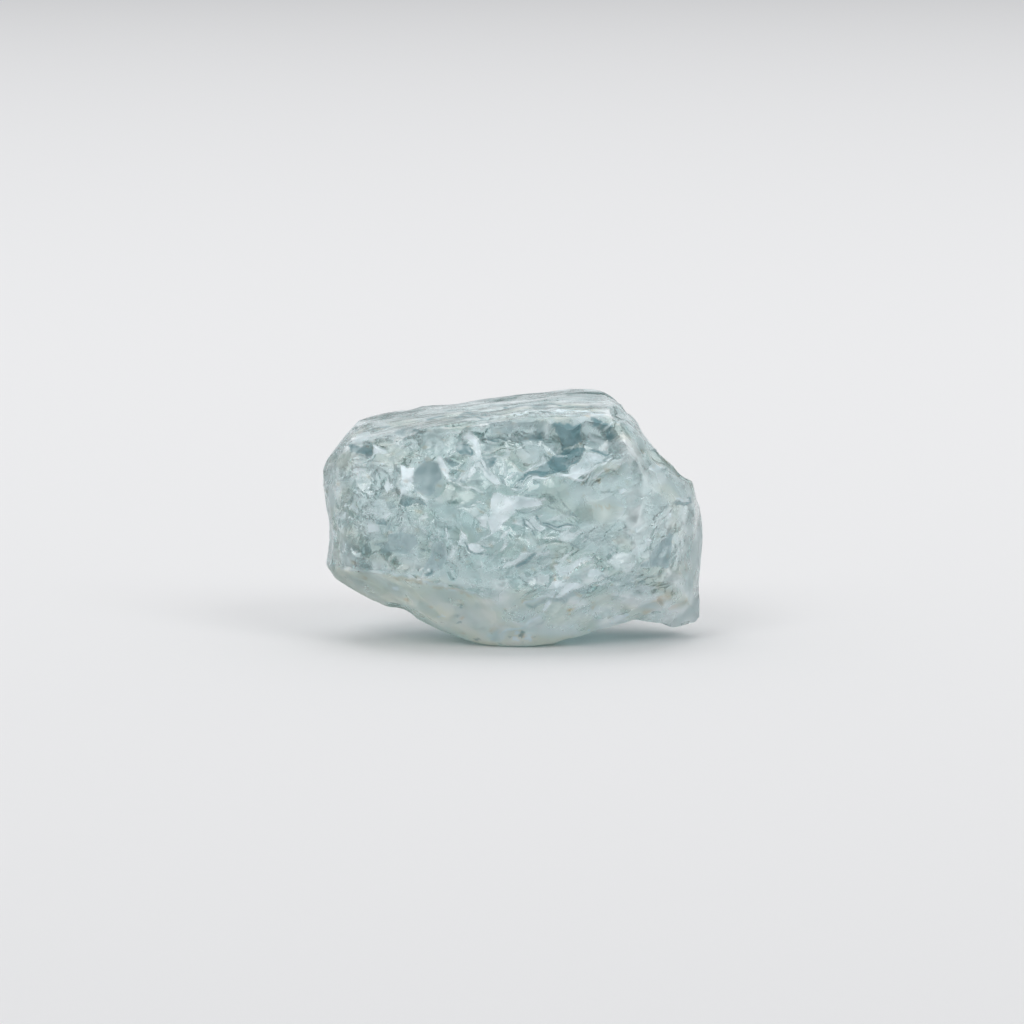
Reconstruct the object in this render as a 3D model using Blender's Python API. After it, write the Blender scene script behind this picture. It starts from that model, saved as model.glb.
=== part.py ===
"""A rough aquamarine crystal: one piece of clear beryl, broken on every side.

The stone is a blank with flat break faces, the convex hull of hand-placed corners, out of which shell-shaped
scoops and small chips are cut. Break faces, ledges and hollows are all in the one solid.

Frame: metres, +Z up. X runs along the stone's length, -Y is its broad front, and the origin is on the
resting face, under the middle of the stone. The tables are in millimetres.
"""
import math

import bmesh
import bpy
import numpy as np
from mathutils import Matrix, Vector

PART_NAME = "aquamarine_crystal"
MM = 0.001

# The broad front leans back by LEAN. Corners are given on three leaning axes with their zero in the middle
# of the stone: x along it, v up the broad front, w from the front to the back.
LEAN = math.radians(8)
REST_DROP = 4.88    # from the middle of the stone down to the face that it rests on
BACK_SHIFT = 0.12   # moves the whole stone along Y, so that the origin is under its middle

# Corners of the widest outline, from the upper left round by the left, and then the top and the right side.
OUTLINE_CORNERS = [
    (-7.58, 1.95, -0.5), (-7.50, -1.90, 0.6), (-7.20, -2.45, -0.3), (-7.44, 2.36, -0.2), (-6.80, 3.20, 0.1),
    (-6.15, 3.96, 0.5), (-5.15, 4.28, 1.2), (-1.00, 4.84, 1.8), (2.00, 5.20, 1.6), (3.70, 5.18, 1.2),
    (4.36, 4.66, 0.6), (4.86, 3.92, -0.2), (7.18, 1.40, -0.9), (7.30, 0.55, -1.0), (7.64, 0.25, 1.4),
    (7.66, -4.14, 1.4), (6.70, -4.40, 0.6), (-6.10, -3.15, 0.3), (-4.90, -3.65, -0.2),
    (-3.25, -4.46, 0.0),
]
# Corners of the front: the long upper ridge, the rims of the end faces, and the swell between them.
FRONT_CORNERS = [
    (-6.70, 2.95, -1.6), (-3.20, 3.50, -3.0), (0.40, 3.90, -3.5), (4.00, 4.10, -2.6),
    (-6.90, 0.60, -2.2), (-6.60, -2.10, -2.0), (6.25, 0.55, -2.7), (7.00, -3.30, -1.0),
    (-4.70, 1.00, -3.7), (-4.90, -2.20, -3.2), (-1.20, -2.75, -4.0), (1.70, -3.00, -3.9),
    (4.90, -1.80, -3.6), (4.60, 2.50, -3.5), (1.00, 1.20, -4.4), (-1.40, -0.20, -4.45),
]
BACK_CORNERS = [
    (-4.60, 1.80, 3.2), (-1.50, 2.90, 3.8), (3.40, 2.60, 3.6), (5.40, 0.40, 3.4),
    (4.60, -2.60, 3.4), (0.60, -2.80, 3.7), (-3.60, -2.00, 3.3), (-5.80, 2.90, 1.9),
    (-1.50, 4.10, 2.9), (3.20, 4.00, 2.7), (6.00, 1.60, 2.3), (6.90, -1.80, 2.6),
    (6.00, -3.70, 2.4), (-6.60, -0.60, 2.0), (-5.00, -2.90, 1.8), (-1.90, -4.00, 2.2),
]
# Corners of the flat face that the stone rests on: x and y.
REST_CORNERS = [(-1.35, -1.9), (0.9, -2.3), (2.0, -1.5), (2.2, 0.8), (0.8, 1.9), (-1.3, 1.6), (-2.0, 0.0)]

# A scoop is where a shell-shaped flake came off: x and v of its middle, half its length, half its width,
# its depth, the turn of its long axis in degrees, and how far its floor tips towards +x and +v.
FRONT_SCOOPS = [
    # the deep window under the ridge, and the hollows that run on to its left
    (3.20, 2.95, 1.25, 1.00, 0.70, 20, 0.15, 0.30), (2.00, 2.55, 1.35, 1.05, 0.62, 10, 0.10, 0.35),
    (0.75, 2.45, 1.30, 1.10, 0.48, -30, 0, 0.35), (-0.60, 2.95, 1.50, 0.75, 0.34, 5, 0, 0.30),
    (-1.75, 2.80, 0.85, 0.55, 0.24, 50, 0, 0.20), (-2.20, 2.05, 0.75, 0.50, 0.20, 20, 0, 0),
    (-0.90, 1.85, 0.65, 0.42, 0.18, 100, 0, 0), (-3.36, 1.43, 0.95, 0.80, 0.32, 60, 0, 0),
    (-3.90, 0.65, 0.75, 0.42, 0.16, -20, 0, 0), (-4.70, 2.65, 1.60, 0.65, 0.18, 8, 0, 0.15),
    (-6.10, 2.45, 0.90, 0.50, 0.18, 15, 0, 0.10),
    # the middle and the right shoulder
    (-0.20, 0.60, 1.15, 0.65, 0.20, -20, 0, 0), (1.10, -0.10, 1.90, 1.05, 0.30, -25, 0, 0),
    (3.90, 0.70, 2.80, 1.55, 0.28, 25, 0, 0), (5.50, 1.80, 1.40, 1.00, 0.15, 45, 0.10, 0.10),
    # long flakes that rise to the right
    (2.90, -1.50, 3.20, 0.85, 0.26, 20, 0, 0), (4.90, -2.50, 2.30, 0.85, 0.20, 15, 0, -0.10),
    (5.90, -1.15, 1.20, 0.75, 0.16, 45, 0.10, 0), (1.50, -3.30, 1.70, 1.10, 0.30, 40, 0, -0.10),
    # the rough left third
    (-2.40, 0.00, 1.70, 0.85, 0.20, -40, 0, 0), (-1.00, -1.00, 1.50, 0.80, 0.18, -20, 0, 0),
    (-5.20, 0.60, 2.70, 2.20, 0.22, 20, -0.05, 0), (-4.70, -1.40, 2.30, 1.45, 0.20, -15, 0, 0),
    # the smooth bevels along the bottom
    (-4.70, -2.95, 3.00, 0.95, 0.18, -12, 0, 0), (-1.90, -3.60, 2.40, 1.20, 0.22, -25, 0, 0),
    (3.90, -3.60, 2.00, 0.95, 0.20, 10, 0, 0), (6.30, -2.90, 1.40, 0.90, 0.18, 60, 0.10, 0),
]
BACK_SCOOPS = [
    (3.20, 2.00, 2.60, 1.90, 0.60, 20, 0, 0), (0.20, 1.40, 2.30, 1.60, 0.46, -40, 0, 0),
    (-3.20, 1.30, 2.70, 1.70, 0.52, 10, 0, 0), (-5.80, 0.20, 2.20, 1.30, 0.30, 70, 0, 0),
    (1.60, -1.60, 3.00, 1.70, 0.50, 15, 0, 0), (-2.40, -2.00, 2.70, 1.50, 0.40, -20, 0, 0),
    (5.40, -1.20, 2.40, 1.50, 0.42, 70, 0, 0), (4.00, -3.20, 2.10, 1.10, 0.32, 10, 0, 0),
    (-5.00, -2.30, 2.00, 1.10, 0.26, -25, 0, 0), (-0.30, -3.60, 2.10, 1.20, 0.30, 0, 0, 0),
    (-1.20, 3.60, 3.00, 0.90, 0.20, 5, 0, 0.30), (2.80, 3.80, 2.20, 0.90, 0.20, 5, 0, 0.30),
]
# Scoops out of the outline: a point (x, v, w) that the scoop faces, half its length, half its width,
# its depth and its turn. The fourth is the ledge above the right end's lobe, the fifth the notch by the ridge.
RIM_SCOOPS = [
    (-4.35, -3.90, -0.2, 0.80, 1.60, 0.42, -30), (2.70, -4.90, 0.2, 2.60, 2.40, 0.50, 8),
    (-7.50, -0.40, -0.4, 1.80, 1.40, 0.20, 90), (7.60, 1.30, 1.6, 1.20, 0.90, 0.30, 90),
    (4.66, 4.34, 0.2, 0.52, 0.50, 0.20, -45), (-2.40, 4.20, 2.6, 2.40, 1.10, 0.20, 5),
    (-5.60, 3.20, 2.8, 1.60, 1.10, 0.22, 35), (6.00, 2.70, 0.8, 2.00, 1.40, 0.30, -50),
    (5.45, 3.10, -0.3, 1.60, 1.30, 0.20, -48),
    (7.50, -2.20, 1.9, 2.00, 1.40, 0.18, 90),
]

# Chips are small flakes along the edges of the blank, wherever two faces meet at more than a blunt angle.
CHIP_SEED = 52
CHIP_COUNT = 44
CHIP_HALF_WIDTH = (0.22, 0.60)
CHIP_LENGTH_PER_WIDTH = (1.2, 2.6)
CHIP_DEPTH_PER_WIDTH = (0.16, 0.34)
CHIP_TILT = 0.25
SHARP_EDGE = math.radians(14)
CHIP_CLEAR_OF_REST = 1.1

# Subdivisions of the cutters, finer where the cutter's radius is wide.
WIDE_CUTTER = 2.2
WIDE_ROUNDNESS = 4
NARROW_ROUNDNESS = 3

AXIS_X = np.array([1.0, 0.0, 0.0])
AXIS_V = np.array([0.0, math.sin(LEAN), math.cos(LEAN)])
AXIS_W = np.array([0.0, math.cos(LEAN), -math.sin(LEAN)])


def leaning(points):
    """Points from the leaning axes to upright ones, still from the middle of the stone, in millimetres."""
    points = np.asarray(points, float).reshape(-1, 3)
    return points @ np.array([AXIS_X, AXIS_V, AXIS_W])


def unit(vector):
    return vector / np.linalg.norm(vector)


def blank_corners():
    upper = leaning(OUTLINE_CORNERS + FRONT_CORNERS + BACK_CORNERS)
    upper = upper[upper[:, 2] > -REST_DROP]
    rest = np.array([(x, y, -REST_DROP) for x, y in REST_CORNERS])
    return np.vstack([upper, rest])


def to_part(point):
    """A point from the middle of the stone in millimetres to the part's frame in metres."""
    return Vector((point[0], point[1] + BACK_SHIFT, point[2] + REST_DROP)) * MM


def make_blank():
    """The blank's mesh, its faces (rows of a unit normal and a distance) and its sharp edges.

    A sharp edge is a row of its two ends and the mean normal of its two faces. All are in millimetres
    from the middle of the stone, and only the mesh is in the part's frame.
    """
    mesh = bmesh.new()
    for corner in blank_corners():
        mesh.verts.new(corner)
    hull = bmesh.ops.convex_hull(mesh, input=mesh.verts)
    spare = {item for item in hull["geom_interior"] + hull["geom_unused"]
             if isinstance(item, bmesh.types.BMVert)}
    bmesh.ops.delete(mesh, geom=list(spare), context="VERTS")
    bmesh.ops.recalc_face_normals(mesh, faces=mesh.faces)
    mesh.normal_update()
    faces = np.array([(*face.normal, face.normal.dot(face.verts[0].co)) for face in mesh.faces])
    edges = np.array([
        (*edge.verts[0].co, *edge.verts[1].co,
         *(edge.link_faces[0].normal + edge.link_faces[1].normal).normalized())
        for edge in mesh.edges if edge.calc_face_angle() > SHARP_EDGE
    ])
    for vert in mesh.verts:
        vert.co = to_part(vert.co)
    return mesh, faces, edges


def where_it_leaves(faces, start, direction):
    """The point where a ray from inside the blank comes out of it, and the normal of the face there."""
    slope = faces[:, :3] @ direction
    outward = slope > 1e-9
    reach = np.full(len(faces), np.inf)
    reach[outward] = (faces[outward, 3] - faces[outward, :3] @ start) / slope[outward]
    nearest = reach.argmin()
    return start + reach[nearest] * direction, faces[nearest, :3]


def scoop(point, normal, along, half_length, half_width, depth):
    """The ellipsoid that bites `depth` under `point`, longest `along`: its centre, three axes and half sizes."""
    radius = (half_width ** 2 + depth ** 2) / (2 * depth)
    long_axis = unit(along - (along @ normal) * normal)
    axes = np.array([long_axis, np.cross(normal, long_axis), normal])
    return point + normal * (radius - depth), axes, np.array([half_length * radius / half_width, radius, radius])


def turned(degrees):
    """The direction that is turned by so many degrees from +x towards +v."""
    angle = math.radians(degrees)
    return math.cos(angle) * AXIS_X + math.sin(angle) * AXIS_V


def face_scoops(faces, table, outward):
    """The scoops of a broad face, which lies along `outward` from the stone's middle plane."""
    found = []
    for x, v, half_length, half_width, depth, turn, tip_x, tip_v in table:
        point, normal = where_it_leaves(faces, leaning((x, v, 0))[0], outward)
        normal = unit(normal + AXIS_X * tip_x + AXIS_V * tip_v)
        found.append(scoop(point, normal, turned(turn), half_length, half_width, depth))
    return found


def rim_scoops(faces):
    found = []
    for x, v, w, half_length, half_width, depth, turn in RIM_SCOOPS:
        direction = unit(leaning((x, v, w))[0])
        point, normal = where_it_leaves(faces, np.zeros(3), direction)
        found.append(scoop(point, unit(normal + direction), turned(turn), half_length, half_width, depth))
    return found


def chips(edges):
    """Small scoops at random places along the sharp edges, longer edges having more of them."""
    random = np.random.default_rng(CHIP_SEED)
    start, end, normals = edges[:, :3], edges[:, 3:6], edges[:, 6:]
    lengths = np.linalg.norm(end - start, axis=1)
    found = []
    for _ in range(CHIP_COUNT):
        edge = random.choice(len(edges), p=lengths / lengths.sum())
        point = start[edge] + random.uniform() * (end[edge] - start[edge])
        normal = unit(normals[edge] + random.normal(size=3) * CHIP_TILT)
        half_width = random.uniform(*CHIP_HALF_WIDTH)
        half_length = half_width * random.uniform(*CHIP_LENGTH_PER_WIDTH)
        depth = half_width * random.uniform(*CHIP_DEPTH_PER_WIDTH)
        if point[2] > CHIP_CLEAR_OF_REST - REST_DROP:
            found.append(scoop(point, normal, end[edge] - start[edge], half_length, half_width, depth))
    return found


def make_cutter(name, bite, collection):
    """An ellipsoid that takes a scoop or chip out of the blank."""
    centre, axes, half_sizes = bite
    mesh = bpy.data.meshes.new(name)
    ball = bmesh.new()
    roundness = WIDE_ROUNDNESS if half_sizes[1] > WIDE_CUTTER else NARROW_ROUNDNESS
    bmesh.ops.create_icosphere(ball, subdivisions=roundness, radius=1.0)
    ball.to_mesh(mesh)
    ball.free()
    turn = Matrix([Vector(axis) for axis in axes]).transposed()
    size = Matrix.Diagonal(Vector(half_sizes * MM))
    cutter = bpy.data.objects.new(name, mesh)
    cutter.matrix_world = Matrix.Translation(to_part(centre)) @ (turn @ size).to_4x4()
    cutter.hide_render = True
    cutter.display_type = "WIRE"
    collection.objects.link(cutter)


def make_material():
    """Clear, pale blue-green beryl."""
    material = bpy.data.materials.new("aquamarine")
    material.use_nodes = True
    shader = material.node_tree.nodes["Principled BSDF"]
    shader.inputs["Base Color"].default_value = (0.52, 0.70, 0.74, 1.0)
    shader.inputs["Roughness"].default_value = 0.12
    shader.inputs["Metallic"].default_value = 0.0
    shader.inputs["IOR"].default_value = 1.577
    shader.inputs["Transmission Weight"].default_value = 1.0
    return material


def new_collection(name):
    collection = bpy.data.collections.new(name)
    bpy.context.scene.collection.children.link(collection)
    return collection


def main():
    for old in list(bpy.data.objects):
        bpy.data.objects.remove(old, do_unlink=True)
    parts = new_collection(PART_NAME)
    cutters = new_collection("cutters")

    blank, faces, edges = make_blank()
    mesh = bpy.data.meshes.new("crystal")
    blank.to_mesh(mesh)
    blank.free()
    mesh.materials.append(make_material())
    crystal = bpy.data.objects.new("crystal", mesh)
    parts.objects.link(crystal)

    front_scoops = face_scoops(faces, FRONT_SCOOPS, -AXIS_W)
    back_scoops = face_scoops(faces, BACK_SCOOPS, AXIS_W)
    for number, bite in enumerate(front_scoops + back_scoops + rim_scoops(faces)):
        make_cutter(f"scoop_{number:02d}", bite, cutters)
    for number, bite in enumerate(chips(edges)):
        make_cutter(f"chip_{number:02d}", bite, cutters)

    cut = crystal.modifiers.new("scoops and chips", "BOOLEAN")
    cut.operation = "DIFFERENCE"
    cut.operand_type = "COLLECTION"
    cut.collection = cutters
    cut.solver = "EXACT"


main()
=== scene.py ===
# %% [markdown]
# # A rough aquamarine crystal
#
# Aquamarine is a clear, pale blue-green beryl. This piece was broken out of its vein and never cut, so none
# of the crystal's own flat faces is left: every side is a fresh break, and glass and beryl break the same way,
# in shell-shaped scoops with sharp rims. The lesson makes that surface in one piece, as a closed skin over
# the solid part, and then gives it the two looks such a stone has at once: clear where a scoop is smooth,
# and white with frost where the surface is crushed.

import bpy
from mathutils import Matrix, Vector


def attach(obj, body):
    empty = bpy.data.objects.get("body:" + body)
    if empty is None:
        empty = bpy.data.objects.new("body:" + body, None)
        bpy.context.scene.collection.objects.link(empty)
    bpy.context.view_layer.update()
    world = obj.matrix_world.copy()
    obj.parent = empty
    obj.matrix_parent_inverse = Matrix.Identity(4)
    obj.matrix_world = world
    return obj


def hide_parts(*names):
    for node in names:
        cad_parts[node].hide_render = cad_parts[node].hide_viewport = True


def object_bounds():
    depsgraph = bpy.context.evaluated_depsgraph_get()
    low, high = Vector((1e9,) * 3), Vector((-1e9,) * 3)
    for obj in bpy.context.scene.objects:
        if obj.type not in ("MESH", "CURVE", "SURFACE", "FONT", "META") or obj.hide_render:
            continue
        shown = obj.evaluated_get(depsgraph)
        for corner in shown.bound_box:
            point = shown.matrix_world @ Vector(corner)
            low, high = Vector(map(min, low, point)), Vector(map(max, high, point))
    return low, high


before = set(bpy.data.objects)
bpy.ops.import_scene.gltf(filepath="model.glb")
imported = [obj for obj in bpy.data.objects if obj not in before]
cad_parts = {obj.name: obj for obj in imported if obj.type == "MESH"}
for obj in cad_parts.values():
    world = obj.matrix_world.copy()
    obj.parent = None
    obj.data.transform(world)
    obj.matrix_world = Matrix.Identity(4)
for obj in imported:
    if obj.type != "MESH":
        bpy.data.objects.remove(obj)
solid_low, solid_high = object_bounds()
print("solid box in mm:", [round(v * 1000, 2) for v in (*solid_low, *solid_high)])

# %% Modules and units
import math

import bmesh
import bpy
import numpy as np
from mathutils import Vector

MM = 0.001
print("one millimetre is", MM, "of Blender's units")

# %% [markdown]
# ## The stone's own axes
#
# The broad front leans back a little while the stone rests on its flat. It is easier to describe a break by
# where it lies on that front than by upright coordinates, so every table below uses three leaning axes with
# their zero in the middle of the stone: x along it, v up the broad front and w from the front to the back.

# %% Leaning axes
LEAN = math.radians(8)
REST_DROP = 4.88    # from the middle of the stone down to the flat that it rests on
BACK_SHIFT = 0.12   # moves the stone along Y, so that the origin is under its middle
AXIS_X = np.array([1.0, 0.0, 0.0])
AXIS_V = np.array([0.0, math.sin(LEAN), math.cos(LEAN)])
AXIS_W = np.array([0.0, math.cos(LEAN), -math.sin(LEAN)])


def upright(leaning):
    """Leaning (x, v, w) to upright (x, y, z): the sum of each number times its axis."""
    return np.asarray(leaning, float).reshape(-1, 3) @ np.array([AXIS_X, AXIS_V, AXIS_W])


def leaning(upright_rows):
    """Upright rows to three arrays x, v and w: the dot product with each axis."""
    return upright_rows @ AXIS_X, upright_rows @ AXIS_V, upright_rows @ AXIS_W


def unit(rows):
    """Each row divided by its own length."""
    return rows / np.linalg.norm(rows, axis=-1, keepdims=True)


print("the front leans back by", round(math.degrees(LEAN)), "degrees")

# %% [markdown]
# ## The blank: flat breaks
#
# The largest forms of the stone are almost flat: an upper face, a steep shoulder on the right, the swelling
# front, the bevels underneath. They could be modelled one by one, but the convex hull of a few dozen corners
# gives all of them at once, with edges that always close. These are the same corners as the solid's.

# %% Corners of the blank
OUTLINE_CORNERS = [
    (-7.58, 1.95, -0.5), (-7.5, -1.9, 0.6), (-7.2, -2.45, -0.3), (-7.44, 2.36, -0.2), (-6.8, 3.2, 0.1),
    (-6.15, 3.96, 0.5), (-5.15, 4.28, 1.2), (-1, 4.84, 1.8), (2, 5.2, 1.6), (3.7, 5.18, 1.2),
    (4.36, 4.66, 0.6), (4.86, 3.92, -0.2), (7.18, 1.4, -0.9), (7.3, 0.55, -1), (7.64, 0.25, 1.4),
    (7.66, -4.14, 1.4), (6.7, -4.4, 0.6), (-6.1, -3.15, 0.3), (-4.9, -3.65, -0.2), (-3.25, -4.46, 0),
]
FRONT_CORNERS = [
    (-6.7, 2.95, -1.6), (-3.2, 3.5, -3), (0.4, 3.9, -3.5), (4, 4.1, -2.6), (-6.9, 0.6, -2.2), (-6.6, -2.1, -2),
    (6.25, 0.55, -2.7), (7, -3.3, -1), (-4.7, 1, -3.7), (-4.9, -2.2, -3.2), (-1.2, -2.75, -4), (1.7, -3, -3.9),
    (4.9, -1.8, -3.6), (4.6, 2.5, -3.5), (1, 1.2, -4.4), (-1.4, -0.2, -4.45),
]
BACK_CORNERS = [
    (-4.6, 1.8, 3.2), (-1.5, 2.9, 3.8), (3.4, 2.6, 3.6), (5.4, 0.4, 3.4), (4.6, -2.6, 3.4), (0.6, -2.8, 3.7),
    (-3.6, -2, 3.3), (-5.8, 2.9, 1.9), (-1.5, 4.1, 2.9), (3.2, 4, 2.7), (6, 1.6, 2.3), (6.9, -1.8, 2.6),
    (6, -3.7, 2.4), (-6.6, -0.6, 2), (-5, -2.9, 1.8), (-1.9, -4, 2.2),
]
REST_CORNERS = [(-1.35, -1.9), (0.9, -2.3), (2.0, -1.5), (2.2, 0.8), (0.8, 1.9), (-1.3, 1.6), (-2.0, 0.0)]
print("corners:", len(OUTLINE_CORNERS + FRONT_CORNERS + BACK_CORNERS + REST_CORNERS))

# %% The hull's planes and sharp edges
SHARP_EDGE = math.radians(14)    # faces that meet at more than this make an edge that chips


def blank_corners():
    """Every corner in upright coordinates; none lies below the flat that the stone rests on."""
    upper = upright(OUTLINE_CORNERS + FRONT_CORNERS + BACK_CORNERS)
    rest = np.array([(x, y, -REST_DROP) for x, y in REST_CORNERS])
    return np.vstack([upper[upper[:, 2] > -REST_DROP], rest])


def hull_of(corners):
    """The convex hull as rows of a unit normal and its distance from the middle, and its sharp edges.

    A sharp edge is a row of its two ends and the mean normal of the two faces that meet in it.
    """
    hull = bmesh.new()
    for corner in corners:
        hull.verts.new(corner)
    made = bmesh.ops.convex_hull(hull, input=hull.verts)
    inside = {item for item in made["geom_interior"] + made["geom_unused"]
              if isinstance(item, bmesh.types.BMVert)}
    bmesh.ops.delete(hull, geom=list(inside), context="VERTS")
    bmesh.ops.recalc_face_normals(hull, faces=hull.faces)
    hull.normal_update()
    planes = np.array([(*face.normal, face.normal.dot(face.verts[0].co)) for face in hull.faces])
    edges = np.array([
        (*edge.verts[0].co, *edge.verts[1].co,
         *(edge.link_faces[0].normal + edge.link_faces[1].normal).normalized())
        for edge in hull.edges if edge.calc_face_angle() > SHARP_EDGE
    ])
    hull.free()
    return planes, edges


planes, sharp_edges = hull_of(blank_corners())
print("blank:", len(planes), "faces,", len(sharp_edges), "sharp edges")

# %% [markdown]
# ## A grid of directions
#
# The finished skin is a heightfield on a ball: one distance from the middle of the stone for each direction.
# A grid with its two poles at the stone's ends, stretched to the stone's own proportions, gives small faces,
# and two triangle fans close the poles. Its lines are drawn together towards the upper front, where the finest
# forms are.

# %% Directions
ROUND = 460     # grid lines round the stone
ALONG = 540     # grid steps from its left end to its right end
DENSEST = math.radians(165)     # the angle from the back over the top at which the grid lines lie closest
CROWDING = 0.55                 # their spacing there is 1 - this of the mean one, and 1 + this on the far side
HALF_SIZES = (7.5, 4.0, 4.9)


def ball_directions():
    """Unit directions: minus the half length times cos(b) along x, and the half depth and half height times
    sin(b) times the cosine and the sine of a, with a going round and b going from pole to pole. To crowd the
    lines, a is t - crowding * sin(t - densest angle) for even steps of t."""
    t = 2 * math.pi * np.arange(ROUND) / ROUND
    a, b = np.meshgrid(t - CROWDING * np.sin(t - DENSEST), math.pi * np.arange(1, ALONG) / ALONG, indexing="ij")
    rows = np.stack([-HALF_SIZES[0] * np.cos(b), HALF_SIZES[1] * np.sin(b) * np.cos(a),
                     HALF_SIZES[2] * np.sin(b) * np.sin(a)], -1).reshape(-1, 3)
    return unit(np.vstack([rows, [[-1.0, 0.0, 0.0], [1.0, 0.0, 0.0]]]))


looks = ball_directions()
print("grid:", len(looks), "points")

# %% [markdown]
# ## Natural waviness
#
# Nothing on a broken stone is an exact plane or ellipsoid. A sum of ten sine waves in random directions is a
# smooth field with no seam anywhere and a known size of bump, and unlike a noise texture it can be worked
# out for half a million points at once with numpy.

# %% A smooth random field
WAVES = 10


def waviness(points, size, seed):
    """The sum of ten sines of (direction times point, over a wavelength near `size` mm), scaled to a spread
    of about one."""
    random = np.random.default_rng(seed)
    directions = unit(random.normal(size=(WAVES, 3)))
    steps = 2 * math.pi / (size * random.uniform(0.7, 1.4, WAVES))
    starts = random.uniform(0, 2 * math.pi, WAVES)
    total = np.zeros(len(points))
    for direction, step, start in zip(directions, steps, starts):
        total += np.sin(points @ (direction * step) + start)
    return total / math.sqrt(WAVES / 2)


def wavy_vector(points, size, seed):
    """Three independent fields as the three columns of a vector field."""
    return np.stack([waviness(points, size, seed + k) for k in range(3)], -1)


def rise(values, low, high):
    """0 below `low`, 1 above `high`, and 3t^2 - 2t^3 in between."""
    t = np.clip((values - low) / (high - low), 0, 1)
    return t * t * (3 - 2 * t)


# %% [markdown]
# ## Edges sharp and worn
#
# A ray from the middle leaves a convex hull at the smallest of its distances to the planes. Taking a soft
# smallest value instead rounds every edge, and its sharpness can differ from place to place: the smooth
# bevels along the bottom left are worn round, while the upper ridge stays crisp.

# %% The blank's reach
CRISP, WORN = 100.0, 14.0    # per mm: higher keeps edges sharper
LEAST_SLOPE = 1e-6
# The line along the foot of the front, below which the bevels begin: x and v.
BEVEL_LINE = [(-7.6, -1.9), (-6.3, -2.0), (-4.8, -2.18), (-3.4, -2.52), (-1.8, -2.9), (-0.9, -3.1),
              (-0.2, -3.9), (0.6, -4.6), (7.6, -4.9)]


def below_line(x, v, line, soft):
    """1 below a line of points and 0 above it, fading over `soft` on each side."""
    return rise(np.interp(x, *zip(*line)) - v, -soft, soft)


def plane_distance(directions, plane):
    """How far each ray from the middle runs to a plane: the plane's distance over the ray's slope towards it,
    and endless for a ray that doesn't climb towards it."""
    slope = directions @ plane[:3]
    return np.where(slope > LEAST_SLOPE, plane[3] / np.maximum(slope, LEAST_SLOPE), np.inf)


def blank_reach(directions):
    """Distance to the blank's skin: m - log(sum of exp(-s * (each plane's distance - m))) / s, where m is
    the smallest distance and s the sharpness."""
    reaches = np.full(len(directions), np.inf)
    for plane in planes:
        reaches = np.minimum(reaches, plane_distance(directions, plane))
    x, v, w = leaning(directions * reaches[:, None])
    worn = below_line(x, v, BEVEL_LINE, 0.4) * rise(-w, -2.0, -1.0)
    sharpness = CRISP * (WORN / CRISP) ** worn
    crowd = np.zeros(len(directions))
    for plane in np.unique(planes.round(4), axis=0):
        crowd += np.exp(-sharpness * (plane_distance(directions, plane) - reaches))
    return reaches - np.log(crowd) / sharpness


reach = blank_reach(looks)
start_points = looks * reach[:, None]
print("blank reaches from", round(reach.min(), 2), "to", round(reach.max(), 2), "mm")

# %% [markdown]
# ## Scoops
#
# When a flake comes off it leaves a shallow, shell-shaped hollow. An ellipsoid that dips into the surface by
# the flake's depth leaves just that, and where two of them meet there is a curved, sharp rim. The big ones
# are the solid's own, at the same places.

# %% The solid's scoops
# x and v of the middle, half length, half width, depth, turn in degrees, and for some the tip of the floor
# towards +x and +v.
FRONT_SCOOPS = [
    # the deep window under the ridge, and the hollows that run on to its left
    (3.2, 2.95, 1.25, 1, 0.7, 20, 0.15, 0.3), (2, 2.55, 1.35, 1.05, 0.62, 10, 0.1, 0.35),
    (0.75, 2.45, 1.3, 1.1, 0.48, -30, 0, 0.35), (-0.6, 2.95, 1.5, 0.75, 0.34, 5, 0, 0.3),
    (-1.75, 2.8, 0.85, 0.55, 0.24, 50, 0, 0.2), (-2.2, 2.05, 0.75, 0.5, 0.2, 20),
    (-0.9, 1.85, 0.65, 0.42, 0.18, 100), (-3.36, 1.43, 0.95, 0.8, 0.32, 60),
    (-3.9, 0.65, 0.75, 0.42, 0.16, -20), (-4.7, 2.65, 1.6, 0.65, 0.18, 8, 0, 0.15),
    (-6.1, 2.45, 0.9, 0.5, 0.18, 15, 0, 0.1),
    # the middle and the right shoulder
    (-0.2, 0.6, 1.15, 0.65, 0.2, -20), (1.1, -0.1, 1.9, 1.05, 0.3, -25), (3.9, 0.7, 2.8, 1.55, 0.28, 25),
    (5.5, 1.8, 1.4, 1, 0.15, 45, 0.1, 0.1),
    # long flakes that rise to the right
    (2.9, -1.5, 3.2, 0.85, 0.26, 20), (4.9, -2.5, 2.3, 0.85, 0.2, 15, 0, -0.1),
    (5.9, -1.15, 1.2, 0.75, 0.16, 45, 0.1, 0), (1.5, -3.3, 1.7, 1.1, 0.3, 40, 0, -0.1),
    # the rough left third
    (-2.4, 0, 1.7, 0.85, 0.2, -40), (-1, -1, 1.5, 0.8, 0.18, -20), (-5.2, 0.6, 2.7, 2.2, 0.22, 20, -0.05, 0),
    (-4.7, -1.4, 2.3, 1.45, 0.2, -15),
    # the smooth bevels along the bottom
    (-4.7, -2.95, 3, 0.95, 0.18, -12), (-1.9, -3.6, 2.4, 1.2, 0.22, -25), (3.9, -3.6, 2, 0.95, 0.2, 10),
    (6.3, -2.9, 1.4, 0.9, 0.18, 60, 0.1, 0),
]
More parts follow.
